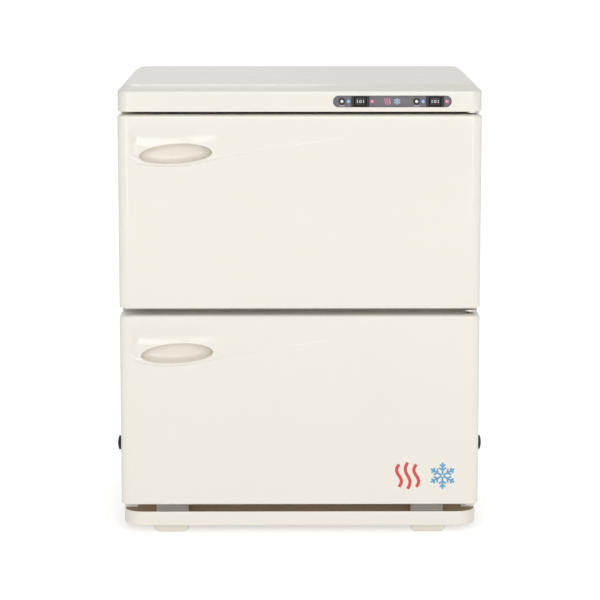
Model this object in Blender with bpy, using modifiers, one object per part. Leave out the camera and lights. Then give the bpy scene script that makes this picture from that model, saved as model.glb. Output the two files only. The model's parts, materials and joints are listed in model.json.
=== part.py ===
"""Two-door hot and cold towel cabinet, built as an assembly of separate pieces.

Sizes are in metres. +Z is up, the doors face -Y and hang on their +X edge.
A depth is measured back from the plane of the door fronts.
On a door, p runs right from its left edge and q runs down from its top edge.
"""

import math

import bmesh
import bpy
from mathutils import Matrix, Vector

NAME = "towel_cabinet"

# Fit between pieces that touch
GAP = 0.0003

# Overall
WIDTH = 0.450
DEPTH = 0.390
FRONT = -DEPTH / 2
BACK = DEPTH / 2

# Stack from the ground up
PAD_HEIGHT = 0.0133
TRAY_HEIGHT = 0.0184
TRAY_TO_DOOR = 0.009
DOOR_HEIGHT = 0.243
DOOR_SPACING = 0.0075
COVER_SPACING = 0.0036
FASCIA_HEIGHT = 0.0254
CROWN_RISE = 0.0065
TRAY_Z = PAD_HEIGHT + GAP
LOWER_DOOR_Z = TRAY_Z + TRAY_HEIGHT + TRAY_TO_DOOR
UPPER_DOOR_Z = LOWER_DOOR_Z + DOOR_HEIGHT + DOOR_SPACING
BODY_TOP = UPPER_DOOR_Z + DOOR_HEIGHT + GAP
COVER_Z = UPPER_DOOR_Z + DOOR_HEIGHT + COVER_SPACING
FASCIA_TOP = COVER_Z + FASCIA_HEIGHT
TOP = FASCIA_TOP + CROWN_RISE

# Body shell
SHEET = 0.0012
FLANGE = 0.012
BODY_INSET = 0.001
SIDE_Z = 0.026
SIDE_FLANGE = 0.0166
DOOR_DEPTH = 0.040
SEAL_GAP = 0.004
FRAME_DEPTH = 0.010
GLAND_REACH = 0.0088
BODY_HALF = WIDTH / 2 - BODY_INSET
FRAME_FRONT = FRONT + DOOR_DEPTH + SEAL_GAP
FRAME_BACK = FRAME_FRONT + FRAME_DEPTH
REAR_OUTER = BACK - GLAND_REACH
REAR_INNER = REAR_OUTER - SHEET
FLANGE_BACK = REAR_INNER - GAP
INNER_HALF = BODY_HALF - SHEET - GAP

# Towel racks
RACK_MARGIN = 0.007
RACK_HEIGHT = 0.012
RACK_BAR = 0.003
RACK_RAIL = 0.004
RACK_SLOTS = 9

# Heating and cooling
HEATER_MARGIN = 0.035
HEATER_THICKNESS = 0.0015
COLD_BLOCK = 0.060
MODULE_SIZE = 0.040
MODULE_DEPTH = 0.0038
SINK_SIZE = 0.110
SINK_BASE = 0.006
SINK_FIN = 0.021
SINK_FIN_WIDTH = 0.0025
SINK_SLOTS = 10
FAN_SIZE = 0.092
FAN_DEPTH = 0.025
FAN_CLEARANCE = 0.0022
FAN_BORE = 0.0435
FAN_SPIDER = 0.003
FAN_STRUT = 0.005
FAN_HUB = 0.014
BLADE_COUNT = 7
BLADE_REACH = 0.0415
BLADE_WIDTH = 0.018
BLADE_THICKNESS = 0.002
BLADE_PITCH = math.radians(35)
SUPPLY_SIZE = (0.180, 0.040, 0.064)
COOLING_STACK = MODULE_DEPTH + SINK_BASE + SINK_FIN + FAN_DEPTH + FAN_CLEARANCE + 4 * GAP

# Chambers, in the room that the walls and the cooling stack leave
SIDE_WALL = 0.040
END_WALL = 0.0305
CHAMBER_CORNER = 0.014
LINER_LIP = 0.015
INSULATION = 0.025
FOAM_BACK = REAR_INNER - COOLING_STACK
LINER_FRONT = FRAME_BACK + GAP
LINER_BACK = FOAM_BACK - INSULATION - GAP - SHEET
FOAM_FRONT = LINER_FRONT + SHEET + GAP
CHAMBER_WIDTH = WIDTH - 2 * SIDE_WALL
CHAMBER_HEIGHT = DOOR_HEIGHT - 2 * END_WALL
CHAMBER_DEPTH = LINER_BACK - LINER_FRONT
LOWER_CENTRE_Z = LOWER_DOOR_Z + DOOR_HEIGHT / 2
UPPER_CENTRE_Z = UPPER_DOOR_Z + DOOR_HEIGHT / 2
MODULE_FRONT = FOAM_BACK + 2 * GAP
SINK_FRONT = MODULE_FRONT + MODULE_DEPTH + GAP
FAN_FRONT = SINK_FRONT + SINK_BASE + SINK_FIN + GAP
FAN_BACK = FAN_FRONT + FAN_DEPTH

# Rear air slots and cord gland
SLOT_COUNT = 7
SLOT_LENGTH = 0.084
SLOT_HEIGHT = 0.005
SLOT_PITCH = 0.012
GLAND_INSET = 0.075
GLAND_Z = 0.075
GLAND_RADIUS = 0.011
GLAND_BORE = 0.0035
GLAND_X = GLAND_INSET - WIDTH / 2

# Door skin
SKIN = 0.0022
EDGE_SIDE = 0.013
EDGE_TOP = 0.003
EDGE_DEPTH = 0.007
EDGE_STEPS = 3

# Swept scoop of the door face
SCOOP_LEFT = 0.0146
SCOOP_TOP = 0.008
SCOOP_DIP = 0.0042
SCOOP_SHELF = 0.0022
SCOOP_TURNS = (0.38, 0.64, 0.84)
SCOOP_WALL = 4.0
SCOOP_FILLET = 0.026
SCOOP_REACH = 0.070
SCOOP_REST = 0.0010
SCOOP_STEP = 0.0010
SWEEP_REST = 0.0006
SWEEP_RUN = 0.007
SWEEP_START = 0.120
SWEEP_MARGIN = 0.010
SWEEP_DEEP = 0.056
SWEEP_SHALLOW = 0.014
SWEEP_POWER = 1.5
SWEEP_FADE = 0.200
SWEEP_END = WIDTH - SWEEP_MARGIN

# Grip pocket
GRIP_P = 0.0715
GRIP_Q = 0.0495
GRIP_HALF_LENGTH = 0.0455
GRIP_HALF_HEIGHT = 0.01165
GRIP_TILT = math.radians(3.6)
GRIP_LIP = 0.0035
GRIP_DEPTH = 0.027
CUP_WALL = 0.0015
GRIP_POINTS = 36

# Inside of the door
PANEL_WALL = 0.0025
PLUG_MARGIN = 0.010
PLUG_REACH = 0.007
FOAM_MARGIN = 0.007
FOAM_DEPTH = 0.0105
SEAL_INSET = 0.006
SEAL_WIDTH = 0.010

# Hinges
PIVOT_INSET = 0.011
PIVOT_DEPTH = 0.020
PIVOT_X = WIDTH / 2 - PIVOT_INSET
PIVOT_Y = FRONT + PIVOT_DEPTH
PIN_RADIUS = 0.003
PIN_LENGTH = 0.009
HINGE_HALF = 0.009
HINGE_PLATE = 0.0024
LEAF_HEIGHT = 0.040
LEAF_DEPTH = 0.002

# Top cover
COVER_WALL = 0.0025
COVER_CORNER = 0.014
COVER_LIP = 0.0008
COVER_BACK = REAR_OUTER + COVER_LIP
CROWN_FRONT = 0.022
CROWN_SIDE = 0.009

# Control panel
PANEL_MARGIN = 0.03815
PANEL_LENGTH = 0.1456
PANEL_HEIGHT = 0.0136
PANEL_FLANGE = 0.0025
PANEL_DEPTH = 0.0018
PANEL_X = WIDTH / 2 - PANEL_MARGIN - PANEL_LENGTH / 2
PANEL_Z = COVER_Z + FASCIA_HEIGHT / 2
SET_INSET = 0.02675
SET_OFFSETS = {"left": SET_INSET - PANEL_LENGTH / 2, "right": PANEL_LENGTH / 2 - SET_INSET}
RESET_X = -0.0161
BLUE_X = -0.0080
ROCKER_X = 0.0067
RED_X = 0.0211
LAMP_RADIUS = 0.0025
LAMP_LENGTH = 0.008
RESET_RING = 0.0042
RESET_NECK = 0.0028
RESET_BORE = 0.0022
RESET_BUTTON = 0.0019
RESET_LENGTH = 0.018
BEZEL_SIZE = (0.0218, 0.0134)
SWITCH_SIZE = (0.0186, 0.0122)
SWITCH_LENGTH = 0.020
WELL_SIZE = (0.0148, 0.0108)
WELL_DEPTH = 0.009
ROCKER_SIZE = (0.0124, 0.0100)
ROCKER_AXIS = 0.0055
BEZEL_PROUD = 0.0012
BOARD_SIZE = (0.150, 0.060, 0.0016)

# Base
PAN_INSET = 0.068
PAN_FRONT = FRONT + PAN_INSET
PAN_Z = 0.012
PAN_TOP = LOWER_DOOR_Z - GAP
LEG_INSET = 0.062
LEG_X = WIDTH / 2 - LEG_INSET
PAD_WIDTH = 0.0437
PAD_LENGTH = 0.0457
PAD_CHAMFER = 0.0044
POST_WIDTH = 0.041
POST_LENGTH = 0.0217
REAR_LEG_INSET = 0.070
REAR_LEG_Y = BACK - REAR_LEG_INSET
TRAY_INSET = 0.0025
TRAY_HALF = WIDTH / 2 - TRAY_INSET
TRAY_FRONT = FRONT + 0.003
TRAY_DEPTH = 0.041
TRAY_CORNER = 0.025
TRAY_BACK_CORNER = 0.006
TRAY_WALL = 0.0018
TRAY_BACK_HEIGHT = 0.0059
TRAY_RIM_FALL = 0.005
TRAY_RIM_HOLD = 0.011
BUMPER_Z = 0.109
BUMPER_INSET = 0.062
BUMPER_Y = FRONT + BUMPER_INSET
BUMPER_RADIUS = 0.009
BUMPER_REACH = 0.0087

# Colour, roughness and metallic of each material
MATERIALS = {
    "cream_gloss": ((0.90, 0.87, 0.80), 0.18, 0.0),
    "cream_plastic": ((0.88, 0.84, 0.77), 0.35, 0.0),
    "cream_paint": ((0.88, 0.85, 0.78), 0.40, 0.0),
    "brown_paint": ((0.22, 0.16, 0.11), 0.55, 0.0),
    "liner_metal": ((0.80, 0.81, 0.82), 0.35, 1.0),
    "bright_metal": ((0.78, 0.77, 0.75), 0.25, 1.0),
    "sink_metal": ((0.62, 0.63, 0.65), 0.45, 1.0),
    "white_foam": ((0.92, 0.92, 0.90), 0.90, 0.0),
    "grey_seal": ((0.72, 0.71, 0.68), 0.70, 0.0),
    "panel_grey": ((0.16, 0.16, 0.17), 0.40, 0.0),
    "black_plastic": ((0.03, 0.03, 0.03), 0.40, 0.0),
    "black_rubber": ((0.03, 0.03, 0.03), 0.75, 0.0),
    "button_white": ((0.90, 0.88, 0.86), 0.35, 0.0),
    "lamp_blue": ((0.28, 0.42, 0.75), 0.20, 0.0),
    "lamp_red": ((0.85, 0.22, 0.38), 0.20, 0.0),
    "module_white": ((0.85, 0.85, 0.83), 0.50, 0.0),
    "heater_orange": ((0.70, 0.32, 0.12), 0.60, 0.0),
    "board_green": ((0.08, 0.30, 0.16), 0.50, 0.0),
}

PARTS = bpy.data.collections.new(NAME)
TOOLS = bpy.data.collections.new("cutters")


def clear_scene():
    for existing in list(bpy.data.objects):
        bpy.data.objects.remove(existing, do_unlink=True)
    bpy.context.scene.collection.children.link(PARTS)
    bpy.context.scene.collection.children.link(TOOLS)


def make_materials():
    for name, (colour, roughness, metallic) in MATERIALS.items():
        material = bpy.data.materials.new(name)
        material.use_nodes = True
        shader = material.node_tree.nodes["Principled BSDF"]
        shader.inputs["Base Color"].default_value = (*colour, 1.0)
        shader.inputs["Roughness"].default_value = roughness
        shader.inputs["Metallic"].default_value = metallic


# Building blocks


def keep(name, mesh, material, smooth=False):
    """Turn a bmesh into a named piece, or into a cutter when it has no material."""
    data = bpy.data.meshes.new(name)
    mesh.to_mesh(data)
    mesh.free()
    piece = bpy.data.objects.new(name, data)
    if material is None:
        TOOLS.objects.link(piece)
        piece.hide_render = True
        piece.display_type = "WIRE"
        return piece
    PARTS.objects.link(piece)
    data.materials.append(bpy.data.materials[material])
    data.polygons.foreach_set("use_smooth", [smooth] * len(data.polygons))
    return piece


def stitch(mesh, rows, around):
    """Fill the strips between rows of vertices; around closes each row on itself."""
    for near, far in zip(rows, rows[1:]):
        count = len(near) if around else len(near) - 1
        for index in range(count):
            after = (index + 1) % len(near)
            mesh.faces.new((near[index], near[after], far[after], far[index]))


def loft(name, loops, material, ring=False, smooth=False):
    """Skin a run of equal loops, capped at both ends or closed into a ring."""
    mesh = bmesh.new()
    rows = [[mesh.verts.new(point) for point in loop] for loop in loops]
    if ring:
        stitch(mesh, rows + rows[:1], True)
    else:
        stitch(mesh, rows, True)
        mesh.faces.new(rows[0])
        mesh.faces.new(rows[-1])
    bmesh.ops.recalc_face_normals(mesh, faces=mesh.faces)
    return keep(name, mesh, material, smooth)


def blocks(name, corners, material):
    """One mesh of plain boxes, each given by its low and high corner."""
    mesh = bmesh.new()
    for low, high in corners:
        low = Vector(low)
        high = Vector(high)
        size = Matrix.Diagonal((high - low).to_4d())
        bmesh.ops.create_cube(mesh, size=1, matrix=Matrix.Translation((low + high) / 2) @ size)
    return keep(name, mesh, material)


def block(name, low, high, material):
    return blocks(name, [(low, high)], material)


def turned(name, stations, centre, axis, material, ring=False, points=24):
    """A round piece from (radius, distance along the axis) stations."""
    loops = []
    for radius, along in stations:
        loop = []
        for step in range(points):
            angle = 2 * math.pi * step / points
            across = (radius * math.cos(angle), radius * math.sin(angle))
            if axis == "X":
                offset = (along, *across)
            elif axis == "Y":
                offset = (across[0], along, across[1])
            else:
                offset = (*across, along)
            loop.append(Vector(centre) + Vector(offset))
        loops.append(loop)
    return loft(name, loops, material, ring, smooth=False)


def rounded(left, right, low, high, radius, far_radius=None, steps=4):
    """Outline of a rectangle; far_radius rounds the two corners on the high side."""
    far_radius = radius if far_radius is None else far_radius
    corners = (
        (left + radius, low + radius, radius, 180),
        (right - radius, low + radius, radius, 270),
        (right - far_radius, high - far_radius, far_radius, 0),
        (left + far_radius, high - far_radius, far_radius, 90),
    )
    outline = []
    for across, along, turn, start in corners:
        for step in range(steps + 1):
            angle = math.radians(start + 90 * step / steps)
            outline.append((across + turn * math.cos(angle), along + turn * math.sin(angle)))
    return outline


def upright(outline, y):
    """Stand a flat outline up, facing the front, at one y."""
    return [(x, y, z) for x, z in outline]


def level(outline, z):
    """Lay a flat outline down at one height."""
    return [(x, y, z) for x, y in outline]


def combine(piece, tool, operation):
    """Cut a piece with a tool, or join the tool on to it."""
    modifier = piece.modifiers.new(tool.name, "BOOLEAN")
    modifier.operation = operation
    modifier.solver = "EXACT"
    modifier.object = tool
    return piece


def cut(piece, tool):
    return combine(piece, tool, "DIFFERENCE")


def join(piece, tool):
    return combine(piece, tool, "UNION")


def hang(name, pivot, pieces):
    """Carry moving pieces on an empty that stands on their joint axis."""
    empty = bpy.data.objects.new(name, None)
    PARTS.objects.link(empty)
    empty.location = pivot
    for piece in pieces:
        piece.parent = empty
        piece.matrix_parent_inverse = Matrix.Translation(-Vector(pivot))


def spread(start, end, count):
    """Evenly spaced values from start to end, both included."""
    return [start + (end - start) * step / (count - 1) for step in range(count)]


def ease(value):
    """Smooth step from 0 to 1."""
    value = min(max(value, 0.0), 1.0)
    return value * value * (3 - 2 * value)


# Door face


def scoop_edge(p):
    """How far below the door top the scoop ends: round the grip, then along the sweep."""
    reach = GRIP_P - SCOOP_LEFT
    along = (max(p, SCOOP_LEFT) - GRIP_P) / reach
    round_grip = (GRIP_HALF_HEIGHT + GRIP_LIP) * math.sqrt(max(0.0, 1 - along * along))
    round_grip += GRIP_Q - along * reach * math.tan(GRIP_TILT)
    run = max(0.0, (SWEEP_END - p) / (SWEEP_END - SWEEP_START))
    sweep = SWEEP_SHALLOW + (SWEEP_DEEP - SWEEP_SHALLOW) * run**SWEEP_POWER
    share = ease((p - GRIP_P + GRIP_HALF_HEIGHT) / GRIP_HALF_LENGTH)
    return round_grip + (sweep - round_grip) * share


def relief(p, q):
    """Depth of the scoop: a dip above the grip, a shelf round it, a fillet at its left, a crease below."""
    edge = scoop_edge(p)
    if p <= SCOOP_LEFT or q <= SCOOP_TOP or q >= edge:
        return 0.0
    across = (q - SCOOP_TOP) / (edge - SCOOP_TOP)
    first, second, third = SCOOP_TURNS
    dip = SCOOP_DIP * ease(across / first)
    dip -= (SCOOP_DIP - SCOOP_SHELF) * ease((across - first) / (second - first))
    dip -= SCOOP_SHELF * ease((across - third) / (1 - third))
    far = ease((p - GRIP_P) / SCOOP_REACH)
    rest = SCOOP_REST + (SWEEP_REST - SCOOP_REST) * far
    crease = rest * across * math.exp((q - edge) / SWEEP_RUN)
    wall = 1 - max(1 - (p - SCOOP_LEFT) / SCOOP_FILLET, 0.0) ** SCOOP_WALL
    fade = 1 - ease((p - SWEEP_START) / SWEEP_FADE)
    step = ease((edge - q) / SCOOP_STEP)
    return (dip * (1 - far) + crease) * wall * fade * step


def face_columns():
    """Columns of the door face as (roll, p); roll runs to -1 and 1 over the rounded sides."""
    rolls = [math.sin(math.pi / 2 * (1 - step / EDGE_STEPS)) for step in range(EDGE_STEPS)]
    wall = [SCOOP_LEFT + SCOOP_FILLET * share for share in (0, 0.05, 0.12, 0.22, 0.36, 0.6, 1)]
    grip = spread(SCOOP_LEFT + SCOOP_FILLET, SWEEP_START, 10)[1:]
    sweep = spread(SWEEP_START, WIDTH - EDGE_SIDE, 14)[1:]
    columns = [(-roll, 0.0) for roll in rolls]
    columns += [(0.0, p) for p in [EDGE_SIDE, *wall, *grip, *sweep]]
    return columns + [(roll, WIDTH) for roll in reversed(rolls)]


def face_rows(p):
    """Rows of one column as (roll, q), crowded where the scoop ends."""
    rolls = [math.sin(math.pi / 2 * (1 - step / EDGE_STEPS)) for step in range(EDGE_STEPS)]
    edge = scoop_edge(p)
    slope = spread(SCOOP_TOP, edge - SCOOP_STEP, 11)
    step = spread(edge - SCOOP_STEP, edge, 3)[1:]
    rows = [(-roll, 0.0) for roll in rolls]
    rows += [(0.0, q) for q in [EDGE_TOP, *slope, *step, DOOR_HEIGHT - EDGE_TOP]]
    return rows + [(roll, DOOR_HEIGHT) for roll in reversed(rolls)]


def face_point(column, row, door_z):
    """A point of the door face; the two rolls are mapped on to a rounded corner."""
    side, p = column
    end, q = row
    across = side * math.sqrt(1 - end * end / 2)
    down = end * math.sqrt(1 - side * side / 2)
    if side:
        p = EDGE_SIDE * (1 - abs(across)) if side < 0 else WIDTH - EDGE_SIDE * (1 - across)
    if end:
        q = EDGE_TOP * (1 - abs(down)) if end < 0 else DOOR_HEIGHT - EDGE_TOP * (1 - down)
    roll = EDGE_DEPTH * (1 - math.sqrt(max(0.0, 1 - across * across - down * down)))
    return (p - WIDTH / 2, FRONT + roll + relief(p, q), door_z + DOOR_HEIGHT - q)


def grip_loop(scale, inset, depth, door_z):
    """Oval of the grip, at one depth, or on the door face when depth is None."""
    length = (GRIP_HALF_LENGTH - inset) * scale
    height = (GRIP_HALF_HEIGHT - inset) * scale
    loop = []
    for step in range(GRIP_POINTS):
        angle = 2 * math.pi * step / GRIP_POINTS
        along = length * math.cos(angle)
        rise = height * math.sin(angle)
        p = GRIP_P + along * math.cos(GRIP_TILT) - rise * math.sin(GRIP_TILT)
        q = GRIP_Q - along * math.sin(GRIP_TILT) - rise * math.cos(GRIP_TILT)
        back = relief(p, q) + GAP if depth is None else depth
        loop.append((p - WIDTH / 2, FRONT + back, door_z + DOOR_HEIGHT - q))
    return loop


def door_skin(prefix, door_z):
    """Moulded outer skin: sculpted face, rolled edges and plain side walls."""
    mesh = bmesh.new()
    columns = face_columns()
    rows = []
    for column in columns:
        points = [face_point(column, row, door_z) for row in face_rows(column[1])]
        rows.append([mesh.verts.new(point) for point in points])
    stitch(mesh, rows, False)
    rim = [edge for edge in mesh.edges if edge.is_boundary]
    walls = bmesh.ops.extrude_edge_only(mesh, edges=rim)["geom"]
    for item in walls:
        if isinstance(item, bmesh.types.BMVert):
            item.co.y = FRONT + DOOR_DEPTH
    bmesh.ops.recalc_face_normals(mesh, faces=mesh.faces)
    mesh.faces.ensure_lookup_table()
    middle = mesh.faces[len(columns) // 2]
    if middle.normal.y > 0:
        bmesh.ops.reverse_faces(mesh, faces=mesh.faces)
    skin = keep(f"{prefix}_door_skin", mesh, "cream_gloss", smooth=True)
    shell = skin.modifiers.new("wall", "SOLIDIFY")
    shell.thickness = SKIN
    shell.offset = -1
    shell.use_even_offset = True
    oval = [grip_loop(1, 0, depth, door_z) for depth in (-EDGE_DEPTH, FOAM_DEPTH * 2)]
    cut(skin, loft(f"{prefix}_grip_cutter", oval, None))
    for end, z in (("bottom", door_z), ("top", door_z + DOOR_HEIGHT)):
        stations = [(PIN_RADIUS + GAP, -PIN_LENGTH), (PIN_RADIUS + GAP, PIN_LENGTH)]
        bore = turned(f"{prefix}_{end}_bore_cutter", stations, (PIVOT_X, PIVOT_Y, z), "Z", None, points=16)
        cut(skin, bore)
    return skin


def door_inside(prefix, door_z):
    """Inner panel with its raised plug, foam core, seal and grip cup of one door."""
    centre = door_z + DOOR_HEIGHT / 2
    back = FRONT + DOOR_DEPTH
    edge = SKIN + GAP

    def plug_loop(margin, y):
        half = CHAMBER_WIDTH / 2 - margin
        tall = CHAMBER_HEIGHT / 2 - margin
        return upright(rounded(-half, half, centre - tall, centre + tall, CHAMBER_CORNER), y)

    def panel_loop(y):
        right = WIDTH / 2 - edge
        outline = rounded(-right, right, door_z + edge, door_z + DOOR_HEIGHT - edge, EDGE_SIDE)
        return upright(outline, y)

    inner = loft(
        f"{prefix}_door_inner_panel",
        [
            plug_loop(PLUG_MARGIN + PLUG_REACH / 2, back + PLUG_REACH),
            plug_loop(PLUG_MARGIN, back),
            panel_loop(back),
            panel_loop(back - PANEL_WALL),
            plug_loop(PLUG_MARGIN + PANEL_WALL, back - PANEL_WALL),
            plug_loop(PLUG_MARGIN + PLUG_REACH / 2 + PANEL_WALL, back + PLUG_REACH - PANEL_WALL),
        ],
        "cream_plastic",
    )
    foam = block(
        f"{prefix}_door_foam",
        (-WIDTH / 2 + FOAM_MARGIN, FRONT + FOAM_DEPTH, door_z + FOAM_MARGIN),
        (PIVOT_X - HINGE_HALF, back - PANEL_WALL - GAP, door_z + DOOR_HEIGHT - FOAM_MARGIN),
        "white_foam",
    )
    pocket = [
        grip_loop(1, -GRIP_LIP, 0, door_z),
        grip_loop(1, -GRIP_LIP, GRIP_DEPTH + GAP, door_z),
    ]
    cut(foam, loft(f"{prefix}_pocket_cutter", pocket, None))

    def seal_loop(margin, y):
        half = CHAMBER_WIDTH / 2 + margin
        tall = CHAMBER_HEIGHT / 2 + margin
        return upright(rounded(-half, half, centre - tall, centre + tall, CHAMBER_CORNER), y)

    near = back + GAP
    far = back + SEAL_GAP - GAP
    crest = SEAL_INSET + SEAL_WIDTH / 2
    seal = loft(
        f"{prefix}_door_seal",
        [
            seal_loop(SEAL_INSET, near),
            seal_loop(SEAL_INSET + SEAL_WIDTH, near),
            seal_loop(SEAL_INSET + SEAL_WIDTH, (near + far) / 2),
            seal_loop(crest + SEAL_WIDTH / 4, far),
            seal_loop(crest - SEAL_WIDTH / 4, far),
            seal_loop(SEAL_INSET, (near + far) / 2),
        ],
        "grey_seal",
        ring=True,
    )
    outer = GAP
    lined = GAP + CUP_WALL
    cup = loft(
        f"{prefix}_grip_cup",
        [
            grip_loop(0.80, outer, GRIP_DEPTH, door_z),
            grip_loop(0.96, outer, GRIP_DEPTH * 0.8, door_z),
            grip_loop(1, outer, None, door_z),
            grip_loop(1, lined, None, door_z),
            grip_loop(0.96, lined, GRIP_DEPTH * 0.8 - CUP_WALL, door_z),
            grip_loop(0.80, lined, GRIP_DEPTH - CUP_WALL, door_z),
        ],
        "cream_gloss",
        smooth=True,
    )
    return [inner, foam, seal, cup]


def build_doors():
    for prefix, door_z in (("upper", UPPER_DOOR_Z), ("lower", LOWER_DOOR_Z)):
        pieces = [door_skin(prefix, door_z), *door_inside(prefix, door_z)]
        hang(f"{prefix}_door_pivot", (PIVOT_X, PIVOT_Y, door_z), pieces)


# Hinges


def hinge(name, low, pins):
    """A flat tongue with a pin up, down or both; low is its underside."""
    left = PIVOT_X - HINGE_HALF
    right = PIVOT_X + HINGE_HALF
    front = PIVOT_Y - HINGE_HALF
    outline = rounded(left, right, front, FRAME_BACK, HINGE_HALF * 0.9, HINGE_PLATE)
    plate = loft(name, [level(outline, low), level(outline, low + HINGE_PLATE)], "bright_metal")
    start = low + HINGE_PLATE / 2
    ends = {"up": low + HINGE_PLATE + PIN_LENGTH, "down": low - PIN_LENGTH}
    for way in pins:
        stations = [(PIN_RADIUS, start), (PIN_RADIUS, ends[way])]
        join(plate, turned(f"{name}_{way}_pin", stations, (PIVOT_X, PIVOT_Y, 0), "Z", None, points=16))
    return plate


def leaf_box(clearance):
    """The centre hinge's leaf in the frame, grown by a clearance for its pocket."""
    middle = UPPER_DOOR_Z - DOOR_SPACING / 2
    low = (PIVOT_X - HINGE_HALF - clearance, FRAME_FRONT, middle - LEAF_HEIGHT / 2 - clearance)
    high = (PIVOT_X + HINGE_HALF + clearance, FRAME_FRONT + LEAF_DEPTH, middle + LEAF_HEIGHT / 2 + clearance)
    return low, high


def centre_hinge():
    """Tongue between the doors, on a leaf let into the front frame."""
    middle = UPPER_DOOR_Z - DOOR_SPACING / 2
    low = middle - HINGE_PLATE / 2
    outline = rounded(
        PIVOT_X - HINGE_HALF,
        PIVOT_X + HINGE_HALF,
        PIVOT_Y - HINGE_HALF,
        FRAME_FRONT + LEAF_DEPTH / 2,
        HINGE_HALF * 0.9,
        LEAF_DEPTH / 4,
    )
    tongue = loft("centre_hinge", [level(outline, low), level(outline, low + HINGE_PLATE)], "bright_metal")
    join(tongue, block("centre_hinge_leaf", *leaf_box(0), None))
    reach = HINGE_PLATE / 2 + PIN_LENGTH
    stations = [(PIN_RADIUS, -reach), (PIN_RADIUS, reach)]
    join(tongue, turned("centre_hinge_pin", stations, (PIVOT_X, PIVOT_Y, middle), "Z", None, points=16))


def build_hinges():
    hinge("top_hinge", COVER_Z - GAP - HINGE_PLATE, ["down"])
    hinge("bottom_hinge", LOWER_DOOR_Z - GAP - HINGE_PLATE, ["up"])
    centre_hinge()


# Body


def chamber_loop(centre, grow, y):
    half = CHAMBER_WIDTH / 2 + grow
    tall = CHAMBER_HEIGHT / 2 + grow
    corner = max(CHAMBER_CORNER + grow, SHEET)
    return upright(rounded(-half, half, centre - tall, centre + tall, corner), y)


def side_panel(name, side):
    """Bent sheet with a flange turned in at the front and the rear."""
    outer = side * BODY_HALF
    inner = side * (BODY_HALF - SHEET)
    lip = side * (BODY_HALF - SIDE_FLANGE)
    front = FRAME_BACK + GAP
    outline = [
        (lip, front),
        (outer, front),
        (outer, FLANGE_BACK),
        (lip, FLANGE_BACK),
        (lip, FLANGE_BACK - SHEET),
        (inner, FLANGE_BACK - SHEET),
        (inner, front + SHEET),
        (lip, front + SHEET),
    ]
    return loft(name, [level(outline, SIDE_Z), level(outline, COVER_Z - GAP)], "cream_paint")


def front_frame():
    half = BODY_HALF - GAP
    frame = block(
        "front_frame",
        (-half, FRAME_FRONT, LOWER_DOOR_Z),
        (half, FRAME_BACK, BODY_TOP),
        "cream_plastic",
    )
    for prefix, centre in (("upper", UPPER_CENTRE_Z), ("lower", LOWER_CENTRE_Z)):
        loops = [chamber_loop(centre, 0, y) for y in (FRAME_FRONT - FLANGE, FRAME_BACK + FLANGE)]
        cut(frame, loft(f"{prefix}_mouth_cutter", loops, None))
    low, high = leaf_box(GAP)
    pocket_low = (low[0], low[1] - FLANGE, low[2])
    pocket_high = (high[0], high[1] + GAP, high[2])
    cut(frame, block("leaf_cutter", pocket_low, pocket_high, None))


def rear_panel():
    panel = block(
        "rear_panel",
        (-INNER_HALF, REAR_INNER, SIDE_Z),
        (INNER_HALF, REAR_OUTER, COVER_Z - GAP),
        "cream_paint",
    )
    slots = []
    for centre in (UPPER_CENTRE_Z, LOWER_CENTRE_Z):
        for step in range(SLOT_COUNT):
            z = centre + (step - (SLOT_COUNT - 1) / 2) * SLOT_PITCH
            low = (-SLOT_LENGTH / 2, REAR_INNER - FLANGE, z - SLOT_HEIGHT / 2)
            high = (SLOT_LENGTH / 2, REAR_OUTER + FLANGE, z + SLOT_HEIGHT / 2)
            slots.append((low, high))
    cut(panel, blocks("slot_cutter", slots, None))
    stations = [
        (GLAND_RADIUS, REAR_OUTER + GAP),
        (GLAND_RADIUS, REAR_OUTER + GLAND_REACH / 2),
        (GLAND_RADIUS * 0.7, BACK),
        (GLAND_BORE, BACK),
        (GLAND_BORE, REAR_OUTER + GLAND_REACH / 4),
    ]
    turned("cord_gland", stations, (GLAND_X, 0, GLAND_Z), "Y", "black_rubber")


def insulation():
    foam = block(
        "insulation_block",
        (-INNER_HALF, FOAM_FRONT, LOWER_DOOR_Z),
        (INNER_HALF, FOAM_BACK, BODY_TOP),
        "white_foam",
    )
    wall = SHEET + GAP
    pockets = []
    recesses = []
    holes = []
    for centre in (UPPER_CENTRE_Z, LOWER_CENTRE_Z):
        half = CHAMBER_WIDTH / 2 + wall
        tall = CHAMBER_HEIGHT / 2 + wall
        pocket_low = (-half, FOAM_FRONT - FLANGE, centre - tall)
        pocket_high = (half, LINER_BACK + wall, centre + tall)
        pockets.append((pocket_low, pocket_high))
        mat = heater_box(centre, GAP)
        recesses.append((mat[0], (mat[1][0], mat[1][1], mat[1][2] + wall)))
        hole = COLD_BLOCK / 2 + GAP
        low = (-hole, LINER_BACK - FLANGE, centre - hole)
        holes.append((low, (hole, FOAM_BACK + FLANGE, centre + hole)))
    cut(foam, blocks("chamber_cutter", pockets, None))
    cut(foam, blocks("heater_cutter", recesses, None))
    cut(foam, blocks("cold_block_cutter", holes, None))


def heater_box(centre, grow):
    """Flat mat below a chamber floor, grown by a clearance for its recess."""
    half = CHAMBER_WIDTH / 2 - HEATER_MARGIN + grow
    length = CHAMBER_DEPTH / 2 - HEATER_MARGIN + grow
    top = centre - CHAMBER_HEIGHT / 2 - SHEET - GAP
    middle = (LINER_FRONT + LINER_BACK) / 2
    low = (-half, middle - length, top - HEATER_THICKNESS - grow)
    high = (half, middle + length, top)
    return low, high


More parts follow.
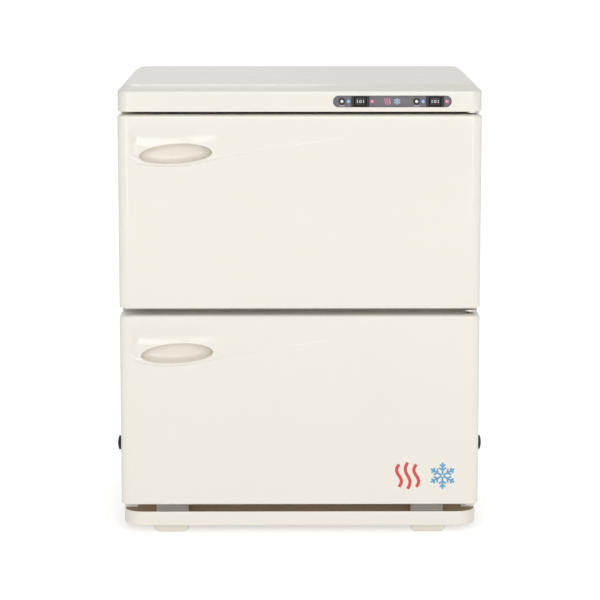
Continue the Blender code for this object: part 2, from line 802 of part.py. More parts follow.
def chamber(prefix, centre):
    """Liner, towel rack and heater mat of one chamber."""
    loft(
        f"{prefix}_liner",
        [
            chamber_loop(centre, SHEET, LINER_BACK + SHEET),
            chamber_loop(centre, SHEET, LINER_FRONT + SHEET),
            chamber_loop(centre, LINER_LIP, LINER_FRONT + SHEET),
            chamber_loop(centre, LINER_LIP, LINER_FRONT),
            chamber_loop(centre, 0, LINER_FRONT),
            chamber_loop(centre, 0, LINER_BACK),
        ],
        "liner_metal",
    )
    half = CHAMBER_WIDTH / 2 - CHAMBER_CORNER
    front = LINER_FRONT + RACK_MARGIN
    rear = LINER_BACK - RACK_MARGIN
    floor = centre - CHAMBER_HEIGHT / 2 + GAP
    top = floor + RACK_HEIGHT
    rack = block(f"{prefix}_rack", (-half, front, floor), (half, rear, top), "bright_metal")
    under_low = (RACK_RAIL - half, front - FLANGE, floor - FLANGE)
    under_high = (half - RACK_RAIL, rear + FLANGE, top - RACK_BAR)
    cut(rack, blocks(f"{prefix}_rack_under_cutter", [(under_low, under_high)], None))
    pitch = (rear - front - RACK_RAIL) / RACK_SLOTS
    slots = []
    for step in range(RACK_SLOTS):
        start = front + RACK_RAIL + step * pitch
        low = (2 * RACK_RAIL - half, start, floor)
        slots.append((low, (half - 2 * RACK_RAIL, start + pitch - RACK_RAIL, top + FLANGE)))
    cut(rack, blocks(f"{prefix}_rack_slot_cutter", slots, None))
    block(f"{prefix}_heater", *heater_box(centre, 0), "heater_orange")


def square(name, size, front, back, centre, material):
    half = size / 2
    return block(name, (-half, front, centre - half), (half, back, centre + half), material)


def cooling(prefix, centre):
    """Cold block, Peltier module, heat sink and fan behind one chamber."""
    block_front = LINER_BACK + SHEET + GAP
    square(f"{prefix}_cold_block", COLD_BLOCK, block_front, FOAM_BACK + GAP, centre, "sink_metal")
    module_back = MODULE_FRONT + MODULE_DEPTH
    square(f"{prefix}_peltier", MODULE_SIZE, MODULE_FRONT, module_back, centre, "module_white")
    sink = square(f"{prefix}_heat_sink", SINK_SIZE, SINK_FRONT, FAN_FRONT - GAP, centre, "sink_metal")
    pitch = (SINK_SIZE - SINK_FIN_WIDTH) / SINK_SLOTS
    slots = []
    for step in range(SINK_SLOTS):
        left = -SINK_SIZE / 2 + SINK_FIN_WIDTH + step * pitch
        low = (left, SINK_FRONT + SINK_BASE, centre - SINK_SIZE)
        slots.append((low, (left + pitch - SINK_FIN_WIDTH, FAN_FRONT + FLANGE, centre + SINK_SIZE)))
    cut(sink, blocks(f"{prefix}_fin_cutter", slots, None))
    fan(prefix, centre)


def fan(prefix, centre):
    half = FAN_SIZE / 2
    square_loop = rounded(-half, half, centre - half, centre + half, FAN_STRUT, steps=7)
    bore_loop = []
    for step in range(len(square_loop)):
        angle = math.radians(180) + 2 * math.pi * (step + 0.5) / len(square_loop)
        bore_loop.append((FAN_BORE * math.cos(angle), centre + FAN_BORE * math.sin(angle)))
    casing = loft(
        f"{prefix}_fan_frame",
        [
            upright(square_loop, FAN_FRONT),
            upright(square_loop, FAN_BACK),
            upright(bore_loop, FAN_BACK),
            upright(bore_loop, FAN_FRONT),
        ],
        "black_plastic",
        ring=True,
    )
    spider = FAN_BACK - FAN_SPIDER
    reach = (FAN_BORE + half) / 2
    bar = FAN_STRUT / 2
    strut_back = FAN_BACK - GAP
    ends = ((-reach, spider, centre - bar), (reach, strut_back, centre + bar))
    across = block(f"{prefix}_spider_bar", *ends, None)
    ends = ((-bar, spider, centre - reach), (bar, strut_back, centre + reach))
    up = block(f"{prefix}_spider_post", *ends, None)
    stations = [(FAN_HUB, spider - GAP), (FAN_HUB, FAN_BACK)]
    boss = turned(f"{prefix}_spider_boss", stations, (0, 0, centre), "Y", None)
    for tool in (across, up, boss):
        join(casing, tool)
    rotor_back = spider - 2 * GAP
    rotor_front = FAN_FRONT + FAN_SPIDER
    stations = [(FAN_HUB, rotor_front), (FAN_HUB, rotor_back)]
    rotor = turned(f"{prefix}_fan_rotor", stations, (0, 0, centre), "Y", "black_plastic")
    blades = bmesh.new()
    middle = (rotor_front + rotor_back) / 2
    length = BLADE_REACH - FAN_HUB / 2
    for step in range(BLADE_COUNT):
        turn = Matrix.Rotation(2 * math.pi * step / BLADE_COUNT, 4, "Y")
        away = Matrix.Translation((FAN_HUB / 2 + length / 2, 0, 0))
        pitch = Matrix.Rotation(BLADE_PITCH, 4, "X")
        size = Matrix.Diagonal((length, BLADE_THICKNESS, BLADE_WIDTH, 1))
        place = Matrix.Translation((0, middle, centre))
        bmesh.ops.create_cube(blades, size=1, matrix=place @ turn @ away @ pitch @ size)
    join(rotor, keep(f"{prefix}_blades", blades, None))
    hang(f"{prefix}_fan_axis", (0, middle, centre), [rotor])


def power_supply():
    width, depth, height = SUPPLY_SIZE
    middle = (UPPER_CENTRE_Z + LOWER_CENTRE_Z) / 2
    low = (-width / 2, FOAM_BACK + GAP, middle - height / 2)
    block("power_supply", low, (width / 2, low[1] + depth, middle + height / 2), "sink_metal")


def build_body():
    side_panel("left_side_panel", -1)
    side_panel("right_side_panel", 1)
    front_frame()
    rear_panel()
    insulation()
    for prefix, centre in (("upper", UPPER_CENTRE_Z), ("lower", LOWER_CENTRE_Z)):
        chamber(prefix, centre)
        cooling(prefix, centre)
    power_supply()


# Top cover and controls


def cover_loop(inset, crown, z):
    """Plan of the cover: inset all round, and further in by the crown's share."""
    half = WIDTH / 2 - inset - CROWN_SIDE * crown
    front = FRONT + inset + CROWN_FRONT * crown
    rear = COVER_BACK - inset - CROWN_SIDE * crown
    corner = max(COVER_CORNER - inset, SHEET)
    return level(rounded(-half, half, front, rear, corner), z)


def stadium(length, height, y):
    half = length / 2
    rise = height / 2
    outline = rounded(PANEL_X - half, PANEL_X + half, PANEL_Z - rise, PANEL_Z + rise, rise * 0.98, steps=6)
    return upright(outline, y)


def top_cover():
    cover = loft(
        "top_cover",
        [
            cover_loop(0, 1, TOP),
            cover_loop(0, 0, FASCIA_TOP),
            cover_loop(0, 0, COVER_Z),
            cover_loop(COVER_WALL, 0, COVER_Z),
            cover_loop(COVER_WALL, 0, FASCIA_TOP - COVER_WALL / 2),
            cover_loop(COVER_WALL, 1, TOP - COVER_WALL),
        ],
        "cream_gloss",
    )
    length = PANEL_LENGTH + 2 * GAP
    height = PANEL_HEIGHT + 2 * GAP
    loops = [stadium(length, height, FRONT + reach) for reach in (-COVER_CORNER, COVER_CORNER)]
    cut(cover, loft("panel_cutter", loops, None))
    half = WIDTH / 2 - COVER_WALL - GAP
    front = FRONT + COVER_WALL + GAP
    rear = COVER_BACK - COVER_WALL - GAP
    corner = COVER_CORNER - COVER_WALL
    outline = rounded(-half, half, front, rear, corner)
    loft("cover_floor", [level(outline, COVER_Z), level(outline, COVER_Z + COVER_WALL / 2)], "cream_plastic")
    width, depth, thickness = BOARD_SIZE
    board_z = COVER_Z + COVER_WALL / 2 + GAP
    board_y = FRONT + DOOR_DEPTH
    low = (PANEL_X - width / 2, board_y, board_z)
    block("control_board", low, (PANEL_X + width / 2, board_y + depth, board_z + thickness), "board_green")


def control_panel():
    face = FRONT + PANEL_DEPTH
    shoulder = FRONT + COVER_WALL + GAP
    wide = PANEL_LENGTH + 2 * PANEL_FLANGE
    tall = PANEL_HEIGHT + 2 * PANEL_FLANGE
    panel = loft(
        "control_panel",
        [
            stadium(PANEL_LENGTH, PANEL_HEIGHT, face),
            stadium(PANEL_LENGTH, PANEL_HEIGHT, shoulder),
            stadium(wide, tall, shoulder),
            stadium(wide, tall, shoulder + COVER_WALL / 2),
        ],
        "panel_grey",
    )
    for side, offset in SET_OFFSETS.items():
        x = PANEL_X + offset
        half = SWITCH_SIZE[0] / 2 + GAP
        rise = SWITCH_SIZE[1] / 2 + GAP
        low = (x + ROCKER_X - half, face - FLANGE, PANEL_Z - rise)
        high = (x + ROCKER_X + half, face + FLANGE, PANEL_Z + rise)
        cut(panel, block(f"{side}_switch_cutter", low, high, None))
        bores = {"reset": (RESET_X, RESET_NECK), "blue": (BLUE_X, LAMP_RADIUS), "red": (RED_X, LAMP_RADIUS)}
        for name, (place, radius) in bores.items():
            stations = [(radius + GAP, face - FLANGE), (radius + GAP, face + FLANGE)]
            tool = turned(f"{side}_{name}_cutter", stations, (x + place, 0, PANEL_Z), "Y", None, points=16)
            cut(panel, tool)


def lamp(name, x, material):
    face = FRONT + PANEL_DEPTH
    stations = [
        (LAMP_RADIUS, face + LAMP_LENGTH),
        (LAMP_RADIUS, face),
        (LAMP_RADIUS * 0.85, face - LAMP_RADIUS * 0.35),
        (LAMP_RADIUS * 0.45, face - LAMP_RADIUS * 0.55),
    ]
    turned(name, stations, (x, 0, PANEL_Z), "Y", material, points=16)


def reset(side, x):
    """Breaker bush with the press button that slides in its bore."""
    face = FRONT + PANEL_DEPTH - GAP
    back = face + COVER_WALL * 2
    stations = [
        (RESET_RING, back + RESET_LENGTH),
        (RESET_RING, back),
        (RESET_NECK, back),
        (RESET_NECK, face),
        (RESET_RING, face),
        (RESET_RING * 0.92, face - BEZEL_PROUD),
        (RESET_BORE, face - BEZEL_PROUD),
        (RESET_BORE, back + RESET_LENGTH / 2),
    ]
    turned(f"{side}_reset_bush", stations, (x, 0, PANEL_Z), "Y", "black_plastic", points=16)
    stations = [
        (RESET_BUTTON, back + RESET_LENGTH / 3),
        (RESET_BUTTON, face - BEZEL_PROUD),
        (RESET_BUTTON * 0.8, face - BEZEL_PROUD - GAP),
    ]
    button = turned(f"{side}_reset_button", stations, (x, 0, PANEL_Z), "Y", "button_white", points=16)
    hang(f"{side}_reset_axis", (x, face, PANEL_Z), [button])


def rocker_switch(side, x):
    """Housing with its bezel, and the rocker that tips about an upright axis."""
    bezel_back = FRONT + PANEL_DEPTH - GAP
    bezel_front = bezel_back - BEZEL_PROUD

    def frame(size, y):
        half = size[0] / 2
        rise = size[1] / 2
        return upright(rounded(x - half, x + half, PANEL_Z - rise, PANEL_Z + rise, SHEET / 2, steps=1), y)

    loft(
        f"{side}_switch_housing",
        [
            frame(SWITCH_SIZE, bezel_back + SWITCH_LENGTH),
            frame(SWITCH_SIZE, bezel_back),
            frame(BEZEL_SIZE, bezel_back),
            frame(BEZEL_SIZE, bezel_front),
            frame(WELL_SIZE, bezel_front),
            frame(WELL_SIZE, bezel_front + WELL_DEPTH),
        ],
        "black_plastic",
    )
    half = ROCKER_SIZE[0] / 2
    rise = ROCKER_SIZE[1] / 2
    dish = SHEET / 2
    outline = [
        (x - half, bezel_front),
        (x, bezel_front + dish),
        (x + half, bezel_front),
        (x + half * 0.75, bezel_front + ROCKER_AXIS),
        (x - half * 0.75, bezel_front + ROCKER_AXIS),
    ]
    ends = [level(outline, PANEL_Z - rise), level(outline, PANEL_Z + rise)]
    rocker = loft(f"{side}_rocker", ends, "black_plastic")
    hang(f"{side}_rocker_axis", (x, bezel_front + ROCKER_AXIS, PANEL_Z), [rocker])


def build_top():
    top_cover()
    control_panel()
    for side, offset in SET_OFFSETS.items():
        x = PANEL_X + offset
        reset(side, x + RESET_X)
        rocker_switch(side, x + ROCKER_X)
        lamp(f"{side}_blue_lamp", x + BLUE_X, "lamp_blue")
        lamp(f"{side}_red_lamp", x + RED_X, "lamp_red")


# Base


def base_pan():
    """Inverted sheet pan that carries the body, with a shoulder that the body's sheets stand on."""
    half = INNER_HALF - GAP
    rear = FLANGE_BACK - SHEET - GAP
    pan = block("base_pan", (-half, PAN_FRONT, PAN_Z), (half, rear, PAN_TOP), "brown_paint")
    shoulder_low = (-BODY_HALF, PAN_FRONT, PAN_Z)
    shoulder_high = (BODY_HALF, REAR_OUTER, SIDE_Z - GAP)
    join(pan, block("pan_shoulder", shoulder_low, shoulder_high, None))
    low = (SHEET - half, PAN_FRONT + SHEET, PAN_Z - FLANGE)
    cut(pan, block("pan_cutter", low, (half - SHEET, rear - SHEET, PAN_TOP - SHEET), None))


def leg(name, x, pad_front, post_front, top):
    """Moulded foot pad with the post that carries the body."""
    half = PAD_WIDTH / 2
    rear = pad_front + PAD_LENGTH
    foot = rounded(
        x - half + PAD_CHAMFER,
        x + half - PAD_CHAMFER,
        pad_front + PAD_CHAMFER,
        rear - PAD_CHAMFER,
        SHEET,
        steps=2,
    )
    pad = rounded(x - half, x + half, pad_front, rear, SHEET, steps=2)
    shape = loft(name, [level(foot, 0), level(pad, PAD_CHAMFER), level(pad, PAD_HEIGHT)], "cream_plastic")
    low = (x - POST_WIDTH / 2, post_front, PAD_CHAMFER)
    join(shape, block(f"{name}_post", low, (x + POST_WIDTH / 2, post_front + POST_LENGTH, top), None))


def tray_loop(inset, share, floor):
    """Plan of the tray at a share of the way from a floor height up to its rim."""
    front = TRAY_FRONT + inset
    back = TRAY_FRONT + TRAY_DEPTH - inset
    half = TRAY_HALF - inset
    corner = TRAY_CORNER - inset
    outline = rounded(-half, half, front, back, corner, max(TRAY_BACK_CORNER - inset, SHEET))
    hold = TRAY_FRONT + TRAY_DEPTH - TRAY_RIM_HOLD
    side = len(outline) // 2
    outline = [*outline[:side], (half, hold), *outline[side:], (-half, hold)]
    loop = []
    for x, y in outline:
        fall = ease((y - hold) / TRAY_RIM_FALL)
        rim = TRAY_Z + TRAY_HEIGHT - (TRAY_HEIGHT - TRAY_BACK_HEIGHT) * fall
        loop.append((x, y, floor + (rim - floor) * share))
    return loop


def drip_tray():
    inner_floor = TRAY_Z + TRAY_WALL
    tray = loft(
        "drip_tray",
        [
            tray_loop(0.0022, 0, TRAY_Z),
            tray_loop(0.0007, 0.04, TRAY_Z),
            tray_loop(0, 0.12, TRAY_Z),
            tray_loop(0, 1, TRAY_Z),
            tray_loop(TRAY_WALL, 1, TRAY_Z),
            tray_loop(TRAY_WALL * 1.5, 0.3, inner_floor),
            tray_loop(TRAY_WALL + 0.0070, 0, inner_floor),
        ],
        "cream_gloss",
    )
    hang("drip_tray_slide", (0, TRAY_FRONT, TRAY_Z), [tray])


def side_bumper(name, side):
    stations = [
        (BUMPER_RADIUS, side * (BODY_HALF + GAP)),
        (BUMPER_RADIUS, side * (BODY_HALF + BUMPER_REACH * 0.78)),
        (BUMPER_RADIUS * 0.9, side * (BODY_HALF + BUMPER_REACH * 0.87)),
        (BUMPER_RADIUS * 0.55, side * (BODY_HALF + BUMPER_REACH * 0.96)),
        (BUMPER_RADIUS * 0.2, side * (BODY_HALF + BUMPER_REACH)),
    ]
    turned(name, stations, (0, BUMPER_Y, BUMPER_Z), "X", "black_rubber")


def build_base():
    base_pan()
    pad_front = PAN_FRONT - GAP - PAD_LENGTH
    post_front = PAN_FRONT - GAP - POST_LENGTH
    rear_post = REAR_LEG_Y + (PAD_LENGTH - POST_LENGTH) / 2
    for prefix, x in (("left", -LEG_X), ("right", LEG_X)):
        leg(f"{prefix}_front_leg", x, pad_front, post_front, LOWER_DOOR_Z - GAP)
        leg(f"{prefix}_rear_leg", x, REAR_LEG_Y, rear_post, PAN_TOP - SHEET - GAP)
    drip_tray()
    side_bumper("left_side_bumper", -1)
    side_bumper("right_side_bumper", 1)


clear_scene()
make_materials()
build_base()
build_body()
build_doors()
build_hinges()
build_top()
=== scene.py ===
"""Looks of the two-door hot and cold towel cabinet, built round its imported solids.

Sizes are in metres. +Z is up, the doors face -Y and hang on their +X edge.
A depth is measured back from the plane of the door fronts.
On a door, p runs right from its left edge and q runs down from its top edge.
"""

import json
from math import atan2, cos, exp, pi, radians, sin, sqrt, tan, tau

import bmesh
import bpy
from mathutils import Matrix, Vector


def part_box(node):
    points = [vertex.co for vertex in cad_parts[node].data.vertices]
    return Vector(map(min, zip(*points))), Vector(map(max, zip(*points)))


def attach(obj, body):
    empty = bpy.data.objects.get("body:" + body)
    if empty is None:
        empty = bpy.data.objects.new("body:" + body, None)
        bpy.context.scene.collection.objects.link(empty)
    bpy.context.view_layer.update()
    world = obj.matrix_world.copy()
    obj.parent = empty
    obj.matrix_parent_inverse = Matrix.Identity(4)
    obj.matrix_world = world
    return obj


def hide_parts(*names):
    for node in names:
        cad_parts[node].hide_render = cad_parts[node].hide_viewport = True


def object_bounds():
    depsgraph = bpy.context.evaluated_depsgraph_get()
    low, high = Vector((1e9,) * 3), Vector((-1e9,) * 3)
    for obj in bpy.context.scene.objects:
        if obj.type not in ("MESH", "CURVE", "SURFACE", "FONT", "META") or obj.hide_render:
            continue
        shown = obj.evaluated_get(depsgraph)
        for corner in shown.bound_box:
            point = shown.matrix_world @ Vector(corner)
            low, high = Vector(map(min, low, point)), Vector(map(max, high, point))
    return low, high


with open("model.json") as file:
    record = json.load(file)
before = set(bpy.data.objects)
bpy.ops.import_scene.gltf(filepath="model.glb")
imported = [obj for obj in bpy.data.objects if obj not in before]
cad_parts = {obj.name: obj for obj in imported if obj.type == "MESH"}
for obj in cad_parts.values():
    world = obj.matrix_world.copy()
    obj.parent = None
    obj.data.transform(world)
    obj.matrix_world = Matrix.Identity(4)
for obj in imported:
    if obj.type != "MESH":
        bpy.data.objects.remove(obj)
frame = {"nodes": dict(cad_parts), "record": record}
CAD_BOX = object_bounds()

SIDES = ("left", "right")
ROWS = ("upper", "lower")
GAP = 0.0003
SHEET = 0.0012

# Places taken from the frame
FRONT = CAD_BOX[0].y
SKIN_LOW, SKIN_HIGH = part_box("upper_door_skin")
WIDTH = SKIN_HIGH.x - SKIN_LOW.x
DOOR_HEIGHT = SKIN_HIGH.z - SKIN_LOW.z
DOOR_BACK = SKIN_HIGH.y
FRAME_LOW, FRAME_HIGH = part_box("front_frame")
LINER_LOW, LINER_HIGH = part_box("upper_liner")
PANEL_LOW, PANEL_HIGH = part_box("control_panel")
PANEL_FACE = PANEL_LOW.y
PANEL_X = (PANEL_LOW.x + PANEL_HIGH.x) / 2
PANEL_Z = (PANEL_LOW.z + PANEL_HIGH.z) / 2

# Door skin; the face stands back a little so that printed marks stay inside the solid
SKIN = 0.0022
PRINT = 0.00012
EDGE_SIDE = 0.013
EDGE_TOP = 0.003
EDGE_DEPTH = 0.007
EDGE_STEPS = 10

# Swept scoop of the door face; its depth turns at SCOOP_TURNS, shares of the way down to its edge
SCOOP_LEFT = 0.0146
SCOOP_TOP = 0.008
SCOOP_DIP = 0.0050
SCOOP_SHELF = 0.0032
SCOOP_TURNS = (0.36, 0.58, 0.80, 0.93)
SCOOP_WALL = 2.0
SCOOP_FILLET = 0.015
SCOOP_REACH = 0.070
SCOOP_REST = 0.0014
SCOOP_STEP = 0.0010
SWEEP_REST = 0.0006
SWEEP_RUN = 0.007
SWEEP_START = 0.120
SWEEP_END = WIDTH - 0.010
SWEEP_DEEP = 0.056
SWEEP_SHALLOW = 0.014
SWEEP_POWER = 1.5
SWEEP_FADE = 0.200

# Columns and rows of the door face; a guard keeps the shading flat next to the scoop
WALL_COLUMNS = 34
GRIP_COLUMNS = 64
SWEEP_COLUMNS = 72
COLUMN_GUARD = 0.0002
SLOPE_ROWS = 34
STEP_ROWS = 11
FLAT_ROWS = 14
ROW_GUARD = SCOOP_STEP / 4

# Grip pocket; the scoop's edge runs GRIP_LIP outside it, and GRIP_CROWN makes its upper half taller
GRIP_P = 0.0715
GRIP_Q = 0.0495
GRIP_HALF_LENGTH = 0.0455
GRIP_HALF_HEIGHT = 0.01165
GRIP_TILT = radians(3.6)
GRIP_LIP = 0.0030
GRIP_DEPTH = 0.0240
GRIP_RIM = 0.0055
GRIP_BOWL = 4.5
GRIP_POINTS = 96
GRIP_CROWN = 0.0020
GRIP_WALL = 0.0012
GRIP_INSET = 0.0004
BOWL_STEPS = 25

# Chamber mouths and door plugs
CHAMBER_HALF = 0.185
CHAMBER_TALL = 0.091
CHAMBER_CORNER = 0.014
LINER_LIP = 0.015
PLUG_RISE = 0.007

# Hinges
PIVOT_X = WIDTH / 2 - 0.011
PIVOT_Y = FRONT + 0.020
PIN_RADIUS = 0.003
PIN_TIP = 0.0006
PIN_BORE = 0.009
HINGE_PLATE = 0.0024
HINGE_NOSE = 0.0081
LEAF_HALF = 0.020

# Printed marks; the shares are of a mark's size
PANEL_MARK = 0.0085
PANEL_MARK_X = 0.006
DOOR_MARK = 0.034
DOOR_MARK_Z = 0.079
HOT_X = 0.136
COLD_X = 0.180
WAVE_APART = 0.32
WAVE_SWAY = 0.09
WAVE_SHORTER = 0.45
WAVE_WIDTH = 0.12
CRYSTAL_WIDTH = 0.07
CRYSTAL_LAYER = 0.000002

# Switches, as half widths and half heights, and the marks on their rockers
SWITCH_BODY = (0.0093, 0.0061)
SWITCH_MOUTH = (0.0078, 0.0057)
SWITCH_WELL = (0.0074, 0.0054)
SWITCH_DEPTH = 0.009
ROCKER_DISH = 0.0006
BAR_HALF = 0.0018
BAR_WIDTH = 0.0007
MARK_RING = (0.0011, 0.0017)
MARK_OUT = 0.0001
MARK_IN = 0.0003

# Breakers
BUSH_NECK = 0.0028
BUSH_BORE = 0.0022
BREAKER_MARK_DROP = 0.0056
BREAKER_MARK_HALF = 0.0032
BREAKER_MARK_WIDTH = 0.0006

# Top cover; the panel's rim laps over it
CROWN_FRONT = 0.022
CROWN_SIDE = 0.009
FASCIA_TOP = 0.5635
COVER_CORNER = 0.014
PANEL_LAP = 0.0025

# Body
SIDE_BEND = 0.0022
LINER_BEND = 0.010
WIRE = 0.0016
SLOT_PITCH = 0.012
SLOT_HALF = 0.042
SLOT_TALL = 0.0025
SCREW_RADIUS = 0.0036
SCREW_RISE = 0.0020
SCREW_EDGE = 0.008

# Base
PAN_NECK = 0.0018
PAD_TOP = 0.0133
PAD_CHAMFER = 0.0044
POST_HALF = 0.0205
POST_LENGTH = 0.0217
TRAY_CORNER = 0.025
TRAY_REAR = 0.0059
TRAY_FALL = 0.005
TRAY_WALL = 0.0018

# Camera, fitted to the photograph's outline
CAMERA_BACK = 3.100
CAMERA_SIDE = -0.017
CAMERA_HEIGHT = 0.796
CAMERA_AIM = (0.0003, FRONT, 0.3034)
CAMERA_LENS = 151.1
CAMERA_SENSOR = 36

# Studio light
WORLD_LEVEL = 0.76
WORLD_LEFT = 0.30
WORLD_RIGHT = 0.30
SIDE_FROM = 0.3
SIDE_FULL = 0.9
FLOOR_GLOW = 0.265
FLOOR_SEEN = 0.52
FLOOR_Z = -0.0002
LAMP_AIM = (0, 0, 0.3)
LAMPS = (
    ("front_light", (0.4, -3.9, 1.65), (2.0, 2.0), 36.5),
    ("left_strip", (-0.95, -3.4, 0.7), (0.30, 1.4), 5),
    ("right_strip", (0.95, -3.4, 0.7), (0.30, 1.4), 4),
    ("rear_light", (-0.25, 3.2, 2.2), (0.7, 1.2), 5),
)

# Finishes; worn edges and darker hollows go by how sharply the mesh bends outwards or inwards
COAT_ROUGHNESS = 0.08
HOLLOW_FROM = 0.49
HOLLOW_FULL = 0.42
HOLLOW_DARKEN = 0.6
EDGE_FROM = 0.53
EDGE_FULL = 0.62
EDGE_WEAR = 0.7
SCRATCH_GRAIN = 160.0
NOISE_RANGE = (0.3, 0.7)

LOOKS = {}


# Materials


def blank(name):
    """A new material and its node tree, with the shader that is already in it."""
    material = bpy.data.materials.new(f"look_{name}")
    material.use_nodes = True
    LOOKS[name] = material
    tree = material.node_tree
    return tree, tree.nodes["Principled BSDF"]


def link(output, target):
    """Join an output of one node to an input of another."""
    output.id_data.links.new(output, target)


def set_inputs(item, **values):
    """Set a node's inputs by name; spaces in a name are written as underscores."""
    for name, value in values.items():
        item.inputs[name.replace("_", " ")].default_value = value


def node(tree, kind, **values):
    """Add a node and set its inputs."""
    made = tree.nodes.new(kind)
    set_inputs(made, **values)
    return made


def coordinates(tree, stretch=(1, 1, 1)):
    """Coordinates of the piece itself, stretched for grain that runs one way."""
    origin = tree.nodes.new("ShaderNodeTexCoord")
    mapping = node(tree, "ShaderNodeMapping", Scale=stretch)
    link(origin.outputs["Object"], mapping.inputs["Vector"])
    return mapping.outputs["Vector"]


def noise(tree, vector, scale, detail=3.0):
    made = node(tree, "ShaderNodeTexNoise", Scale=scale, Detail=detail)
    link(vector, made.inputs["Vector"])
    return made.outputs["Fac"]


def map_range(tree, value, start, end, low, high):
    """Map values from start to end on to the range from low to high."""
    made = node(tree, "ShaderNodeMapRange", From_Min=start, From_Max=end, To_Min=low, To_Max=high)
    link(value, made.inputs["Value"])
    return made.outputs["Result"]


def times(tree, first, second):
    """The product of two values."""
    made = tree.nodes.new("ShaderNodeMath")
    made.operation = "MULTIPLY"
    link(first, made.inputs[0])
    link(second, made.inputs[1])
    return made.outputs["Value"]


def blend_colours(tree, factor, first, second):
    """Mix two colours by a factor; a colour may be a value or another node's output."""
    made = tree.nodes.new("ShaderNodeMix")
    made.data_type = "RGBA"
    link(factor, made.inputs["Factor"])
    sockets = [item for item in made.inputs if item.type == "RGBA"]
    for socket, colour in zip(sockets, (first, second)):
        if isinstance(colour, tuple):
            socket.default_value = (*colour, 1.0)
        else:
            link(colour, socket)
    return next(item for item in made.outputs if item.type == "RGBA")


def shade(colour, factor):
    """A lighter or darker colour."""
    return tuple(min(1.0, channel * factor) for channel in colour)


def surface(
    name, colour, roughness, mottle=0.02, patch=9, grain=700, bump=0.05,
    depth=0.0002, uneven=0.05, metallic=0, coat=0, wear=None, hollow_colour=None, stretch=(1, 1, 1),
):
    """A finish with uneven colour and gloss, a grain in the surface, worn edges, and hollows blended darker.
    """
    tree, shader = blank(name)
    set_inputs(shader, Metallic=metallic, Coat_Weight=coat, Coat_Roughness=COAT_ROUGHNESS)
    vector = coordinates(tree, stretch)
    cloud = noise(tree, vector, patch, 4.0)
    tone = blend_colours(tree, cloud, shade(colour, 1 - mottle), shade(colour, 1 + mottle))
    curve = tree.nodes.new("ShaderNodeNewGeometry").outputs["Pointiness"]
    # Where the mesh bends inwards, the colour is blended towards a darker hollow colour
    if hollow_colour:
        hollow = map_range(tree, curve, HOLLOW_FROM, HOLLOW_FULL, 0.0, HOLLOW_DARKEN)
        tone = blend_colours(tree, hollow, tone, hollow_colour)
    if wear:
        edge = map_range(tree, curve, EDGE_FROM, EDGE_FULL, 0.0, EDGE_WEAR)
        scratch = times(tree, edge, noise(tree, vector, SCRATCH_GRAIN))
        tone = blend_colours(tree, scratch, tone, wear)
    link(tone, shader.inputs["Base Color"])
    cloud = noise(tree, vector, patch * 5)
    gloss = map_range(tree, cloud, *NOISE_RANGE, roughness - uneven, roughness + uneven)
    link(gloss, shader.inputs["Roughness"])
    roughen(tree, shader, noise(tree, vector, grain, 2.0), bump, depth)
    return tree, shader


def roughen(tree, shader, height, strength, depth):
    """Bumps in the surface; the node is handed back."""
    made = node(tree, "ShaderNodeBump", Strength=strength, Distance=depth)
    link(height, made.inputs["Height"])
    link(made.outputs["Normal"], shader.inputs["Normal"])
    return made


def cells(name, colour, size, joint):
    """Beaded foam: round cells with darker joints."""
    tree, shader = surface(name, colour, 0.85, bump=0.0)
    vector = coordinates(tree)
    beads = node(tree, "ShaderNodeTexVoronoi", Scale=1 / size)
    link(vector, beads.inputs["Vector"])
    tone = blend_colours(tree, beads.outputs["Distance"], colour, joint)
    link(tone, shader.inputs["Base Color"])
    bumps = roughen(tree, shader, beads.outputs["Distance"], 0.6, size * 0.2)
    bumps.invert = True


def circuit(name, colour, track, pitch):
    """A flat board or mat with square tracks on it."""
    tree, shader = surface(name, colour, 0.5, bump=0.0)
    vector = coordinates(tree)
    bricks = node(tree, "ShaderNodeTexBrick", Scale=1 / pitch, Mortar_Size=0.03)
    set_inputs(bricks, Color1=(*colour, 1), Color2=(*shade(colour, 0.8), 1), Mortar=(*track, 1))
    link(vector, bricks.inputs["Vector"])
    link(bricks.outputs["Color"], shader.inputs["Base Color"])


def lens(name, colour, glow):
    """A small lamp lens that glows faintly."""
    tree, shader = surface(name, colour, 0.22, 0.06, 300, 2500, uneven=0.04, coat=0.4)
    set_inputs(shader, Emission_Color=(*colour, 1), Emission_Strength=glow)
    set_inputs(shader, Subsurface_Weight=0.2, Subsurface_Radius=(0.001, 0.001, 0.001))


